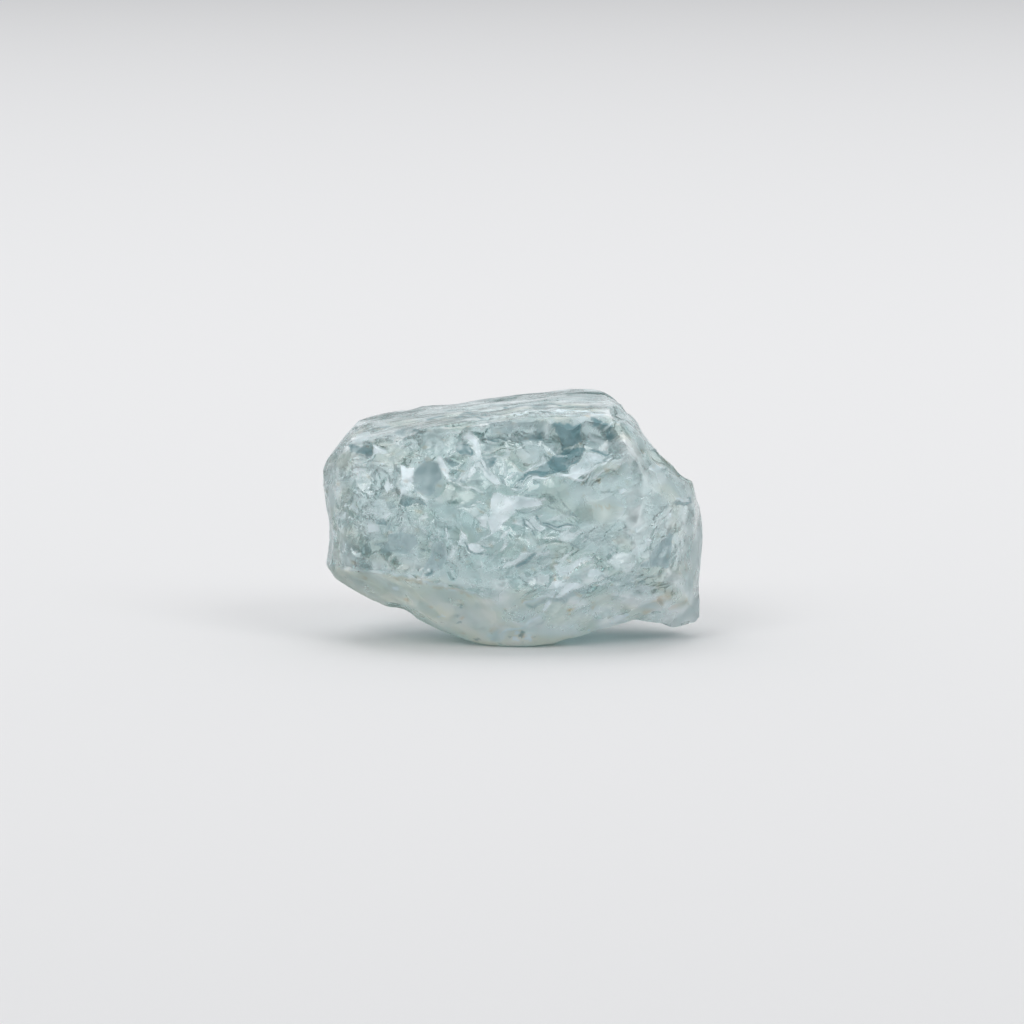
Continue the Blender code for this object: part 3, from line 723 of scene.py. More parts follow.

# %% [markdown]
# ## Facets and shards
#
# A crack does not only leave round shells. Where it turns it leaves flat facets with straight sides, each
# stepped down from its neighbour, and each of them catches another part of the light. That light is painted:
# each facet and shard carries a painted highlight or a painted shade in its colour. The large ones are
# polygons on the broad front. Smaller ones are kites, drawn by chance, that run with the crack: up to the
# right in the lower half, and every way in the pitted left third.

# %% Facets on the front
# Painted highlight, painted shade, step in mm at the lower side, and the corners, written as the lines' points
# are.
FACETS = [
    # smooth blue cells at the left
    (0.6, 0.4, 0.02, "-495,-55 -430,-50 -380,-75 -365,-110 -420,-145 -485,-130"),
    (0.6, 0.4, 0.02, "-320,-90 -275,-85 -250,-150 -290,-205 -360,-205 -330,-150"),
    (0, 0.8, 0.02, "-550,-5 -505,2 -493,-25 -530,-32"),
    (0, 0.55, 0.02, "-600,-120 -575,-100 -560,-135 -590,-150"),
    (0.3, 0.45, 0.01, "-540,-100 -490,-95 -470,-125 -520,-140"),
    # the bright flat in the middle, a painted reflection, and its neighbours
    (0.78, 0, 0.05, "-82,92 50,90 120,58 35,32 -10,15 -50,-45 -92,-62 -100,0"),
    (0.88, 0, 0.01, "-15,88 50,90 120,58 60,45 0,42"),
    (0.75, 0, 0.04, "-10,-15 30,2 90,-5 140,-35 100,-50 50,-36"),
    (0.45, 0, 0.03, "35,-62 70,-75 85,-100 45,-102"),
    (0.65, 0, 0.03, "-142,12 -105,15 -98,-40 -130,-30"),
    (0.8, 0, 0.03, "-210,-45 -185,-60 -170,-85 -175,-110 -210,-100"),
    (0.9, 0, 0.03, "-185,-105 -130,-102 -105,-125 -140,-133 -175,-125"),
    # flats that rise to the right
    (0.7, 0, 0.06, "-45,-200 -15,-168 50,-142 90,-138 75,-155 10,-180"),
    (0.75, 0, 0.03, "150,-190 220,-175 310,-140 330,-135 300,-175 220,-215 180,-225"),
    (0.5, 0, 0.03, "385,-165 405,-150 490,-110 540,-95 495,-160 445,-215 400,-205"),
    (0.6, 0.75, 0.02, "495,-195 555,-125 615,-60 645,-75 620,-130 610,-195"),
    (0.38, 0, 0.02, "20,-215 150,-225 145,-250 100,-265 30,-245"),
    (0.85, 0, 0.02, "165,-260 200,-255 285,-255 260,-280 190,-310 160,-315"),
    (0.88, 0, 0.02, "40,-322 110,-305 155,-275 155,-295 135,-320 90,-325 40,-340"),
    (0.3, 0.6, 0.01, "75,-342 140,-334 200,-326 295,-290 305,-258 260,-278 190,-310 130,-312"),
    (0.9, 0, 0.04, "380,-398 410,-385 460,-370 465,-385 430,-405 390,-410"),
    (0.9, 0, 0.03, "290,-238 305,-205 335,-200 360,-220 320,-230"),
    (0.6, 0, 0.02, "445,-275 530,-260 590,-285 520,-295"),
    # the upper left corner
    (0.65, 0, 0.03, "-660,298 -620,325 -575,350 -560,305"),
    (0, 0.95, 0.03, "-662,295 -550,295 -550,248 -585,232 -600,260 -640,255"),
    (0.8, 0, 0.04, "-550,290 -510,275 -495,255 -520,245 -545,250"),
    # the smooth cell and the corner of painted highlight beside it
    (0.55, 0.75, 0.03, "-375,220 -330,245 -295,210 -280,160 -295,100 -340,85 -390,100 -395,150"),
    (0.95, 0, 0.03, "-450,210 -415,195 -385,195 -395,140 -410,100 -440,90 -430,150"),
    (0.7, 0, 0.02, "-440,100 -410,105 -345,50 -380,80 -420,92 -450,65"),
    (0, 0.9, 0.03, "-445,58 -428,98 -395,88 -338,52 -385,46 -420,38"),
    # the window: panes of painted shade, a fan and a flat of painted highlight on its left
    (0, 1, 0.02, "0,122 35,170 110,203 155,230 195,274 290,274 260,225 200,180 120,170 50,146"),
    (0, 0.95, 0.02, "145,372 270,380 280,320 275,292 190,272 170,320"),
    (0, 0.95, 0.03, "300,395 370,385 400,365 350,345 310,350"),
    (0, 0.85, 0.03, "350,342 405,352 420,310 380,295"),
    (0, 0.8, 0.02, "305,280 370,266 385,240 340,248"),
    (0.8, 0, 0.01, "205,170 250,220 282,260 320,260 365,235 300,180 240,152"),
    (0.15, 0.55, 0.02, "-105,378 0,386 135,386 132,330 60,336 -95,330"),
    (0.35, 0, 0.02, "10,275 120,280 135,250 90,220 30,210"),
    (0, 0.65, 0.03, "-110,312 20,325 120,330 120,305 20,300 -100,305"),
    # the broad parts of the bars, and what lies between them
    (0.75, 0, 0.02, "-160,300 -130,295 -115,240 -140,235 -155,265"),
    (0.75, 0, 0.02, "-138,228 -110,220 -75,170 -45,135 -65,122 -100,155 -125,190"),
    (0.65, 0, 0.02, "-145,245 -160,210 -185,175 -175,155 -145,185 -125,225"),
    (0.8, 0, 0.02, "-300,235 -275,230 -245,175 -260,152 -285,180"),
    (0.25, 0.85, 0.03, "-250,156 -200,155 -180,138 -220,130"),
    (0.55, 0, 0.02, "-30,285 -5,260 -25,225 -50,240"),
    (0.15, 0.6, 0.02, "-118,295 -60,288 -20,278 -80,262 -120,268"),
    (0.1, 0.7, 0.02, "-162,202 -136,194 -130,172 -155,178"),
    (0.1, 0.75, 0.02, "-62,172 -35,160 -20,130 -50,136"),
    (0.5, 0.55, 0.02, "-95,350 0,360 0,330 -90,325"),
    (0.9, 0, 0.02, "-190,325 -160,325 -130,290 -140,275 -175,300"),
    (0, 1, 0.03, "-118,242 -70,242 -78,195 -90,168 -105,205"),
    (0, 0.85, 0.03, "-272,242 -230,228 -192,218 -195,198 -235,188 -252,205"),
    (0.1, 1, 0.03, "-222,302 -185,298 -152,262 -162,238 -195,235 -225,265"),
    # painted glints and specks of painted shade at the foot and on the bevels
    (1, 0, 0, "-2,-442 20,-436 28,-458 5,-464"),
    (0, 1, 0.03, "32,-442 50,-446 42,-478 24,-470"),
    (1, 0, 0, "50,-446 72,-452 66,-484 46,-474"),
    (1, 0, 0, "-2,-470 24,-476 30,-494 2,-492"),
    (0, 0.45, 0.01, "64,-460 98,-464 80,-473"),
    (0, 0.4, 0.01, "-26,-462 2,-470 -12,-480"),
    (0, 0.5, 0.01, "28,-487 52,-484 38,-496"),
    (0.95, 0, 0.02, "290,-440 305,-440 305,-452 292,-452"),
    (0.75, 0, 0.02, "378,-410 400,-408 402,-420 382,-420"),
    (0.8, 0, 0.01, "-480,-275 -460,-270 -450,-282 -470,-288"),
    (0.5, 0, 0.01, "220,-430 255,-415 270,-420 235,-440"),
    (0, 0.6, 0.02, "-225,-418 -205,-420 -195,-405 -215,-408"),
    (0.5, 0, 0, "-100,-450 -60,-442 -35,-470 -80,-495"),
    (0, 0.6, 0.01, "-210,-335 -198,-330 -200,-365 -212,-360"),
    (0, 0.55, 0.01, "-230,-380 -210,-375 -212,-390 -228,-392"),
    (0, 0.6, 0.01, "-150,-475 -125,-478 -130,-490 -148,-488"),
    (0, 0.6, 0.01, "-65,-482 -42,-480 -45,-495 -60,-494"),
    (0.7, 0, 0.01, "-310,-392 -275,-385 -260,-390 -290,-398"),
    # ripples of painted shade right of the bright flat
    (0, 0.7, 0.02, "10,106 60,98 100,88 95,74 40,90"),
    (0, 0.6, 0.03, "125,92 150,95 162,75 140,70"),
    (0.2, 0.55, 0.02, "200,30 255,22 260,5 200,2"),
    # painted glints at the right end
    (0.45, 0, 0.02, "535,180 550,220 590,220 605,180 570,170"),
    (1, 0, 0.03, "555,195 570,214 588,197 570,182"),
    (0, 0.6, 0.02, "590,190 610,202 612,186 595,178"),
    (1, 0, 0.02, "535,186 548,198 552,184 542,176"),
    (1, 0, 0.02, "515,252 528,255 526,242 516,242"),
    (0.9, 0, 0.02, "405,115 435,125 430,98 410,95"),
    (0.7, 0, 0.02, "440,162 480,166 465,152"),
    (0, 0.6, 0.02, "602,175 614,178 610,150"),
    (0, 0.85, 0.04, "620,60 710,100 720,60 650,45"),
    (1, 0, 0.02, "635,80 695,85 705,68 660,66"),
    (1, 0, 0.02, "610,20 622,25 628,2 618,0"),
    (1, 0, 0.02, "515,-90 530,-75 542,-88 525,-100"),
    (0.9, 0, 0.02, "480,-40 488,-38 486,-62 478,-60"),
    (0, 0.5, 0.02, "290,-75 305,-75 302,-95 288,-90"),
]
print("facets:", len(FACETS))

# %% Shards by chance
# How many, where their middles crowd (x, v), how far they stray, half length, width as a share of it, turn
# and its spread in degrees, tone (painted highlight above zero, painted shade below), step in mm, and seed.
SHARD_KINDS = [
    (130, (3.0, -1.7), (1.8, 1.1), (0.25, 0.95), (0.12, 0.32), (27, 12), (-0.40, 0.60), (0.015, 0.05), 501),
    (70, (-0.8, -0.2), (1.3, 1.7), (0.20, 0.65), (0.16, 0.45), (15, 45), (-0.50, 0.60), (0.015, 0.05), 502),
    (260, (-5.3, 0.4), (1.1, 1.4), (0.08, 0.34), (0.30, 0.80), (20, 60), (-0.65, 0.75), (0.015, 0.045), 503),
    (110, (-5.6, 0.7), (0.8, 1.3), (0.06, 0.13), (0.40, 0.90), (20, 60), (0.90, 1.00), (0.01, 0.02), 506),
    (40, (5.6, 0.6), (0.9, 0.9), (0.15, 0.50), (0.16, 0.40), (30, 40), (-0.30, 0.45), (0.01, 0.03), 504),
    (70, (-2.9, 2.9), (0.9, 0.3), (0.08, 0.30), (0.30, 0.80), (10, 60), (-0.70, 0.40), (0.01, 0.05), 505),
]


def kites(count, middle, spread, half_lengths, slimness, turn, tones, steps, seed):
    """Rows like those of FACETS, with four corners: the two ends of the length, and one at each side of it,
    all turned by the same angle and moved to a place drawn round the middle."""
    random = np.random.default_rng(seed)
    rows = []
    for _ in range(count):
        x, v = random.normal(middle, spread)
        degrees = random.normal(*turn)
        half_length = random.uniform(*half_lengths)
        half_width = half_length * random.uniform(*slimness)
        tone = random.uniform(*tones)
        step = random.uniform(*steps)
        c, s = math.cos(math.radians(degrees)), math.sin(math.radians(degrees))
        local = [(-half_length, 0), (half_length * random.uniform(-0.5, 0.5), -half_width), (half_length, 0),
                 (half_length * random.uniform(-0.5, 0.5), half_width * random.uniform(0.3, 1.0))]
        corners = [(x + a * c - b * s, v + a * s + b * c) for a, b in local]
        rows.append((max(tone, 0), max(-tone, 0), step, corners))
    return rows


SHARDS = [row for kind in SHARD_KINDS for row in kites(*kind)]
print("shards:", len(SHARDS))


# %% Drawing facets
FACET_RIM = 0.03        # mm over which a facet's tone and step fade in from its sides
STEP_SHARE = 0.7        # how much of a facet's step is cut


def depth_inside(x, v, corners):
    """The gap to a polygon's nearest side, above zero inside it by the even-odd rule and below zero outside."""
    ring = corners + corners[:1]
    odd = np.zeros(len(x), bool)
    for (x0, v0), (x1, v1) in zip(ring[:-1], ring[1:]):
        crosses = (v0 > v) != (v1 > v)
        odd ^= crosses & (x < x0 + (x1 - x0) * (v - v0) / (v1 - v0 + 1e-12))
    return np.where(odd, 1, -1) * gap_to_line(x, v, ring)


def draw_facets(points, normals, calm):
    """Height, painted highlight and painted shade at each point. Inside a polygon the skin sinks by its step
    at the lower side and by nothing at the upper side. The deepest step counts and the last tone. Shards keep
    off the `calm` parts of the stone."""
    height, white, painted_shade_and_blue = np.zeros((3, len(points)))
    front, x, v = on_front(points, normals)
    x, v = swayed(x, v, points[front], 0.04, 0.8, 86)
    cloud = 0.88 + 0.12 * np.clip(waviness(points[front], 0.5, 90), -1, 1)
    facets = [(*row, path(corners)) for *row, corners in FACETS]
    for number, (whiteness, shade_share, step, corners) in enumerate(SHARDS + facets):
        (low_x, low_v), (high_x, high_v) = np.min(corners, 0), np.max(corners, 0)
        near = np.nonzero((x > low_x) & (x < high_x) & (v > low_v) & (v < high_v))[0]
        if len(near) == 0:
            continue
        inside = rise(depth_inside(x[near], v[near], corners), 0, FACET_RIM)
        rows = front[near]
        if number < len(SHARDS):
            inside *= 1 - calm[rows]
        slope = (high_v - v[near]) / (high_v - low_v)
        height[rows] = np.minimum(height[rows], -STEP_SHARE * step * inside * slope)
        tone = inside * cloud[near]
        white[rows] = whiteness * tone + white[rows] * (1 - tone)
        painted_shade_and_blue[rows] = shade_share * tone + painted_shade_and_blue[rows] * (1 - tone)
    return height, white, painted_shade_and_blue


facet_height = draw_facets(skin, skin_normals, masks["smooth"])[0]
print("deepest step in mm:", round(facet_height.min(), 3))

# %% [markdown]
# ## Flutes and rings
#
# A crack that runs fast leaves its track behind: long fine steps along the top, slanting hackles at the lower
# right, and in every shell faint rings round the point where the blow struck. Such tracks are flutes, shallow
# hollows side by side with a sharp edge between each two. A plain sine wave would have no sharp edges, so the
# profile of a flute is a parabola, and every flute gets its own depth.

# %% Flutes
FLUTE_KINDS = 256    # after so many flutes their depths repeat


def flutes(across, seed):
    """Side-by-side hollows, one for each whole number that `across` passes: with f the part after the point,
    minus 4 f (1 - f) times a depth between 0.15 and 1 that is drawn for each flute."""
    number = np.floor(across).astype(int)
    part = across - number
    depths = np.random.default_rng(seed).uniform(0.15, 1.0, FLUTE_KINDS)
    return -4 * part * (1 - part) * depths[number % FLUTE_KINDS]


print("depth across one flute:", flutes(np.linspace(0, 1, 5), 201).round(2))


# %% Tracks of the cracks
def top_streaks(points):
    """Flutes along the run of the top face, 0.62, 0.27 and 0.13 mm wide, bent a little. The two wider kinds
    fade in and out with a wavy field that is stretched along the run."""
    x, v, w = leaning(points)
    along = np.stack([0.20 * x, 0.5 * v, w], -1)
    across = w - 0.10 * x + 0.10 * waviness(along, 1.3, 61)
    swell = 0.5 + 0.5 * np.clip(waviness(np.stack([0.15 * x, 0 * v, 1.2 * w], -1), 0.8, 66), -1, 1)
    fine = across + 0.02 * waviness(np.stack([0.4 * x, v, w], -1), 0.8, 62)
    return swell * (0.080 * flutes(across / 0.62, 201) + 0.050 * flutes(fine / 0.27, 202)) \
        + 0.020 * flutes(fine / 0.13, 203)


def slanting_hackles(points):
    """Flutes, 0.80 and 0.30 mm wide, across a direction that rises to the right, times a wavy field that
    leaves them in patches."""
    x, v, w = leaning(points)
    along = np.stack([0.4 * x, v, w], -1)
    across = 0.94 * v - 0.36 * x + 0.14 * waviness(along, 1.6, 63)
    patches = np.clip(0.3 + waviness(along, 1.8, 67), 0, 1) * (1 - 0.8 * masks["foot"])
    return patches * (0.045 * flutes(across / 0.80, 204) + 0.012 * flutes(across / 0.30, 205))


STRUCK_ASIDE = 1.6              # mm from the middle of a scoop to the side where the blow fell
RING_DEPTHS = (0.002, 0.007)    # mm
RING_SPACINGS = (0.25, 0.6)     # mm
FEWEST_POINTS = 50              # a smaller scoop gets no rings


def shell_rings(points):
    """In each scoop, flutes of the distance from a point near its rim, each scoop with its own spacing. They
    are taken out or made shallower where the break is glassy."""
    rings = np.zeros(len(points))
    for number, (centre, axes, half_sizes) in enumerate(wide_scoops):
        inside = owner == number
        random = np.random.default_rng(100 + number)
        side, sway = random.choice([-1, 1]) * STRUCK_ASIDE, random.uniform(-1, 1)
        depth, spacing = random.uniform(*RING_DEPTHS), random.uniform(*RING_SPACINGS)
        if inside.sum() > FEWEST_POINTS:
            struck = centre - axes[2] * half_sizes[2] + axes[0] * side + axes[1] * sway
            distance = np.linalg.norm(points[inside] - struck, axis=1)
            distance += 0.08 * waviness(points[inside], 1.4, 300 + number)
            rings[inside] = depth * flutes(distance / spacing, 400 + number)
    return rings * (1 - 0.7 * masks["back"]) * (1 - 0.8 * masks["window"]) * (1 - masks["cell"]) \
        * (1 - 0.7 * masks["shoulder"]) * (1 - masks["middle"])


# %% Adding the relief
relief = (masks["top"] * top_streaks(skin) + masks["low_right"] * slanting_hackles(skin)
          + (1 - masks["top"]) * shell_rings(skin) + line_height + facet_height)
reach = reach + relief * above_rest
print("relief in mm:", round(relief.min(), 3), "to", round(relief.max(), 3))

# %% [markdown]
# ## One closed mesh in the solid's box
#
# The rest flat is a plain cut: nothing reaches below it. The skin is then stretched by under two per cent to
# fill exactly the box of the solid, so the two always have the same size, and the grid becomes quads with a
# fan of triangles at each pole. Decimate spends the triangles where the surface bends.

# %% Placing the skin
def placed(points):
    """Points from the middle of the stone to the part's frame: the solid's low corner plus the distance from
    their own low corner, times the solid's size over their own."""
    points = points.copy()
    points[:, 2] = np.maximum(points[:, 2], -REST_DROP)
    low, high = np.array(solid_low), np.array(solid_high)
    stretch = (high - low) / (points.max(0) - points.min(0))
    print("stretched by", np.round(stretch / MM, 4))
    return low + (points - points.min(0)) * stretch


def grid_faces():
    """Quads between neighbouring grid lines, wrapping round, and a fan of triangles at each pole."""
    index = np.arange(ROUND * (ALONG - 1)).reshape(ROUND, ALONG - 1)
    after = np.roll(index, -1, 0)
    quads = np.stack([index[:, :-1], index[:, 1:], after[:, 1:], after[:, :-1]], -1).reshape(-1, 4)
    left, right = np.full(ROUND, ROUND * (ALONG - 1)), np.full(ROUND, ROUND * (ALONG - 1) + 1)
    left_fan = np.stack([left, index[:, 0], after[:, 0]], -1)
    right_fan = np.stack([right, after[:, -1], index[:, -1]], -1)
    return quads.tolist() + left_fan.tolist() + right_fan.tolist()


raw = bpy.data.meshes.new("aquamarine_skin")
raw.from_pydata(placed(looks * reach[:, None]).tolist(), [], grid_faces())
checked = bmesh.new()
checked.from_mesh(raw)
bmesh.ops.recalc_face_normals(checked, faces=checked.faces)
checked.to_mesh(raw)
checked.free()
stone = bpy.data.objects.new("crystal_skin", raw)
bpy.context.scene.collection.objects.link(stone)
print("fine skin:", len(raw.vertices), "points")

# %% Sparing the triangles
TRIANGLES = 186_000
SMOOTH_BELOW = math.radians(26)    # faces that meet at more than this keep a sharp edge between them
thinner = stone.modifiers.new("thinner", "DECIMATE")
thinner.ratio = TRIANGLES / sum(len(face.vertices) - 2 for face in raw.polygons)
bpy.context.view_layer.update()
mesh = bpy.data.meshes.new_from_object(stone.evaluated_get(bpy.context.evaluated_depsgraph_get()))
stone.modifiers.clear()
stone.data = mesh
bpy.data.meshes.remove(raw)
mesh.name = "crystal_skin"
mesh.shade_smooth()
mesh.set_sharp_from_angle(angle=SMOOTH_BELOW)
print("crystal:", sum(len(face.vertices) - 2 for face in mesh.polygons), "triangles")

# %% [markdown]
# ## Where the stone is clear, frosted, milky or stained
#
# The finish follows the form. Ridges stand proud, so they are crushed and white, while the floors of the
# hollows stay glassy. How proud a point stands is the distance along its normal from the mean of its
# neighbours. Added to that are veils, which are flat breaks inside the stone that cloud it white; a painted
# highlight and a painted shade in the colour, where the lines and facets catch light or dark and where the
# window shows the dark seen through the clear stone; and a little rust that has crept into the cracks.

# %% How proud each point stands
NEAR_ROUNDS = 16    # rounds of averaging that make the mean of a point's surroundings


def mesh_array(collection, name, width, kind=np.float32):
    """One property of all items of a mesh collection, as rows of `width` numbers."""
    values = np.empty(len(collection) * width, kind)
    collection.foreach_get(name, values)
    return values.reshape(-1, width)


def averaged(values, ends, rounds):
    """The values after each was replaced, `rounds` times over, by the mean of its neighbours."""
    count = np.bincount(ends.ravel(), minlength=len(values)).astype(float)
    for _ in range(rounds):
        total = [np.bincount(ends[:, 0], column[ends[:, 1]], len(values))
                 + np.bincount(ends[:, 1], column[ends[:, 0]], len(values)) for column in values.T]
        values = np.stack(total, -1) / count[:, None]
    return values


ends = mesh_array(mesh.edges, "vertices", 2, np.int32)
normals = mesh_array(mesh.vertices, "normal", 3).astype(float)
places = mesh_array(mesh.vertices, "co", 3).astype(float) / MM - np.array([0, BACK_SHIFT, REST_DROP])
proud = ((places - averaged(places, ends, NEAR_ROUNDS)) * normals).sum(1)
proud = averaged(proud[:, None], ends, 2)[:, 0]
print("proud by, in mm:", np.round(np.percentile(proud, [1, 10, 50, 90, 99]), 4))

# %% Patches of the finish
# Every row: x, v, half length, half width, turn in degrees, strength.
MATT = [    # breaks that are too matt for a glint
    (3.7, 0.3, 0.6, 0.5, 0, 1), (2.2, 0.9, 1.2, 0.6, 0, 0.6), (0.6, -0.8, 0.8, 0.3, 0, 0.7),
    (2.6, -2.1, 0.5, 0.3, 20, 0.7), (-2.8, 2.9, 0.8, 0.5, 0, 0.3),
]
BLUISH = [    # deeper and bluer places on the worn bevels and in the pitted part
    (-2.5, -3.25, 0.8, 0.35, -10, 1), (-1.5, -3.9, 0.9, 0.6, 10, 0.8), (-5, -1.1, 1.8, 0.75, 5, 1),
    (-0.4, -4.2, 0.6, 0.35, 20, 0.7), (-3.1, -1.6, 0.6, 0.7, 0, 1), (-6.1, 0.4, 0.8, 0.9, 0, 0.5),
    (1.2, -3.7, 0.9, 0.4, 30, 0.6), (5, -2.9, 1.1, 0.35, 5, 0.6), (3.2, -0.9, 1, 0.4, 15, 0.5),
]
HAZE = [    # broad milky parts, which add up, each with its softness before its strength
    (4.6, 0.2, 2.2, 1.5, 0, 0.3, 0.18), (4.4, 2.8, 0.5, 0.5, 0, 0.4, 0.2),
    (4.8, -2.9, 1.6, 0.8, 10, 0.4, 0.16), (6.5, -1.2, 0.5, 1.6, 0, 0.4, 0.22),
]
VEILS = [    # breaks inside the stone that cloud what lies behind them
    (4.8, 0, 0.7, 0.6, 0, 0.14), (4.85, 2.05, 0.35, 0.45, 0, 0.2), (5.05, 1.7, 0.35, 0.45, 0, 0.12),
    (7.1, 0.2, 0.25, 0.5, 0, 0.18), (5.9, -2.2, 0.35, 0.25, 0, 0.25), (-0.5, -2.65, 0.35, 0.28, 0, 0.22),
    (4.25, -0.95, 0.2, 0.25, 0, 0.3), (6.3, -4.2, 0.3, 0.25, 0, 0.3), (5.2, -3.9, 0.35, 0.2, 0, 0.3),
]
STAINS = [    # rust
    (-4, -2.42, 0.9, 0.07, -10, 0.45), (-2.4, -2.78, 0.9, 0.07, -12, 0.45), (3.6, 1.62, 0.6, 0.05, 15, 0.35),
    (3.6, 0.45, 0.4, 0.05, -20, 0.5), (-1, 0.55, 0.1, 0.25, 0, 0.3), (1.6, -1.9, 0.08, 0.5, -10, 0.4),
    (2.2, -3.68, 0.06, 0.12, -25, 1), (2.36, -3.52, 0.04, 0.08, -25, 0.7), (5.8, -2.7, 0.25, 0.12, -30, 0.5),
    (6.2, -3, 0.16, 0.22, 0, 0.55), (5.85, -3.3, 0.22, 0.16, 20, 0.5), (5.3, -3.7, 0.2, 0.12, 0, 0.5),
    (3.4, 1.5, 0.1, 0.06, 20, 0.8), (2.72, 1.34, 0.05, 0.07, 0, 0.6), (-3.4, 2.35, 0.25, 0.08, 0, 0.5),
    (1.6, -2.42, 0.05, 0.05, 0, 0.9), (5.7, -0.7, 0.1, 0.14, 0, 0.35), (-2, -3.95, 0.14, 0.06, 25, 0.4),
]


def scattered(x, v, table, soft):
    """The strongest of a table's patches at each point, each its strength times its soft ellipse."""
    return np.maximum.reduce([strength * patch(x, v, row, soft) for *row, strength in table])


print("patches:", len(MATT + BLUISH + HAZE + VEILS + STAINS))

# %% What is where on the mesh
masks = regions(places, normals)
x, v, w = leaning(places)
ragged = swayed(*swayed(x, v, places, 0.05, 0.7, 71), places, 0.03, 0.25, 91)
front, back, bevel, top, window = (masks[name] for name in ("front", "back", "bevel", "top", "window"))
_, line_highlight, line_shade = draw_lines(places, normals)
_, facet_highlight, facet_shade = draw_facets(places, normals, masks["smooth"])
ridge = rise(proud, 0.012, 0.045)
masks["left_end"] = rise(-x, 5.9, 6.9) * (1 - bevel)
# The white of the lines and facets is painted highlight, standing in for glints and light off the breaks; their
# dark lines and panes are painted shade.
painted_highlight = np.clip(np.maximum(0.8 * line_highlight, facet_highlight), 0, 1) * (1 - np.clip(line_shade, 0, 1))
painted_shade = np.clip(np.maximum(facet_shade * (1 - 0.8 * np.clip(line_highlight, 0, 1)), line_shade), 0, 1)
print("marked white:", round(float(painted_highlight.mean()), 4), "and deep:", round(float(painted_shade.mean()), 4))


# %% Frost and milk
FROST = {"back": 0.22, "left": 0.05, "bevel": 0.35, "lobe": 0.25, "top": 0.04, "cell": 0.45, "left_end": 0.08,
         "foot": 0.15, "shoulder": 0.15}
MILK = {"left": 0.11, "bevel": 0.25, "lobe": 0.14, "shoulder": 0.14, "left_end": 0.16, "foot": 0.30,
        "band": 0.11}


def cloudy(size, seed):
    """A wavy field on the stone, cut off at -1 and 1."""
    return np.clip(waviness(places, size, seed), -1, 1)


def shares(table):
    """The sum of each region's mask times its share."""
    return sum(share * masks[name] for name, share in table.items())


frost = (0.06 + shares(FROST) + 0.03 * cloudy(1.8, 73) + 0.25 * ridge
         + 0.35 * front * scattered(x, v, MATT, 0.4)) * (1 - 0.8 * window) + 0.30 * painted_highlight

streaky = np.stack([0.12 * x, 1.4 * v, 1.4 * w], -1)
streaks = 0.16 * waviness(streaky, 0.7, 94) + 0.10 * waviness(streaky, 0.3, 95)
milk = (0.05 + shares(MILK) + 0.06 * cloudy(1.1, 74) + scattered(x, v, VEILS, 0.5) * (1 - back)
        + top * (0.22 + streaks * (0.4 + 0.6 * rise(x, -4.0, -1.0)))
        + 0.32 * ridge * (0.4 + 0.6 * rise(waviness(places, 1.0, 77), -0.5, 0.8)))
for *row, soft, strength in HAZE:
    milk += strength * front * patch(x, v, row, soft)
# Where highlight or shade is painted, the skin turns matt and white so that the painted tint shows in its
# colour.
milk = np.maximum(milk, painted_highlight)
milk *= (1 - 0.8 * painted_shade * (1 - painted_highlight)) * (1 - 0.5 * window * (1 - painted_highlight))
milk += (0.55 * painted_shade + 0.18 * window) * (1 - painted_highlight)
print("mean frost", round(float(frost.mean()), 3), "and milk", round(float(milk.mean()), 3))

# %% Painted shade, warm bevels and rust
bluish = front * scattered(*ragged, BLUISH, 0.6)
# Painted shade: the window's darkness, standing in for the dark seen through the clear stone, and the dark
# lines and panes; the bluish patches add the stone's own bluer tone with the same tint.
painted_shade_and_blue = 0.40 * window * (1 - painted_highlight) + painted_shade + 0.26 * bluish * (1 - 0.4 * bevel)
warm = (1 - painted_highlight) * np.maximum(bevel * (0.80 + 0.20 * cloudy(1.2, 79)) * (1 - 0.6 * bluish),
                                 0.6 * front * rise(waviness(places, 1.5, 78), -0.2, 1.2))
specks = 0.5 * np.clip(waviness(places, 0.45, 75) - 1.7, 0, 1)
rust = front * np.maximum(scattered(*ragged, STAINS, 0.5), specks)
rust *= 1 - 0.8 * np.maximum(painted_highlight, painted_shade)
print("mean deep", round(float(painted_shade_and_blue.mean()), 3), "warm", round(float(warm.mean()), 3))

# %% Attributes on the mesh
for name, values in (("frost", frost), ("milk", milk), ("painted_shade_and_blue", painted_shade_and_blue), ("rust", rust), ("warm", warm),
                     ("highlight_paint", painted_highlight)):
    layer = mesh.attributes.new(name, "FLOAT", "POINT")
    layer.data.foreach_set("value", np.clip(values, 0, 1).astype(np.float32))
print("attributes:", [layer.name for layer in mesh.attributes if layer.data_type == "FLOAT"])

# %% [markdown]
# ## Clear beryl
#
# A see-through mineral is a refracting shader with the mineral's own index, 1.577 for beryl, and a volume
# that takes away a little red light for each millimetre, so that thick parts look deeper than thin ones.
# Colour painted on the surface alone would look the same everywhere. Frost is roughness, milk turns
# transmission into white scatter, and both get a fine grain from a noise texture.

# %% Colours
BERYL_INDEX = 1.577
SKIN_TINT = (0.88, 0.942, 0.958)
# The next two tints are painted light: a painted shade, which also gives the bluish patches their tone, and a
# painted highlight. The others are the stone's own colours.
SHADE_TINT = (0.17, 0.30, 0.33)
HIGHLIGHT_TINT = (0.80, 0.93, 0.98)
WARM_TINT = (0.79, 0.83, 0.74)
RUST_TINT = (0.60, 0.42, 0.22)
DEPTH_COLOUR = (0.52, 0.73, 0.72)
DEPTH_DENSITY = 150.0           # per metre
FROST_GRAIN = (900, 0.4, 1.8)   # grains per metre, and what the finest and the coarsest grain multiply by
MILK_GRAIN = (1600, 0.6, 1.4)
print("left of the light after 5 mm:", np.exp((np.array(DEPTH_COLOUR) - 1) * DEPTH_DENSITY * 5 * MM).round(2))


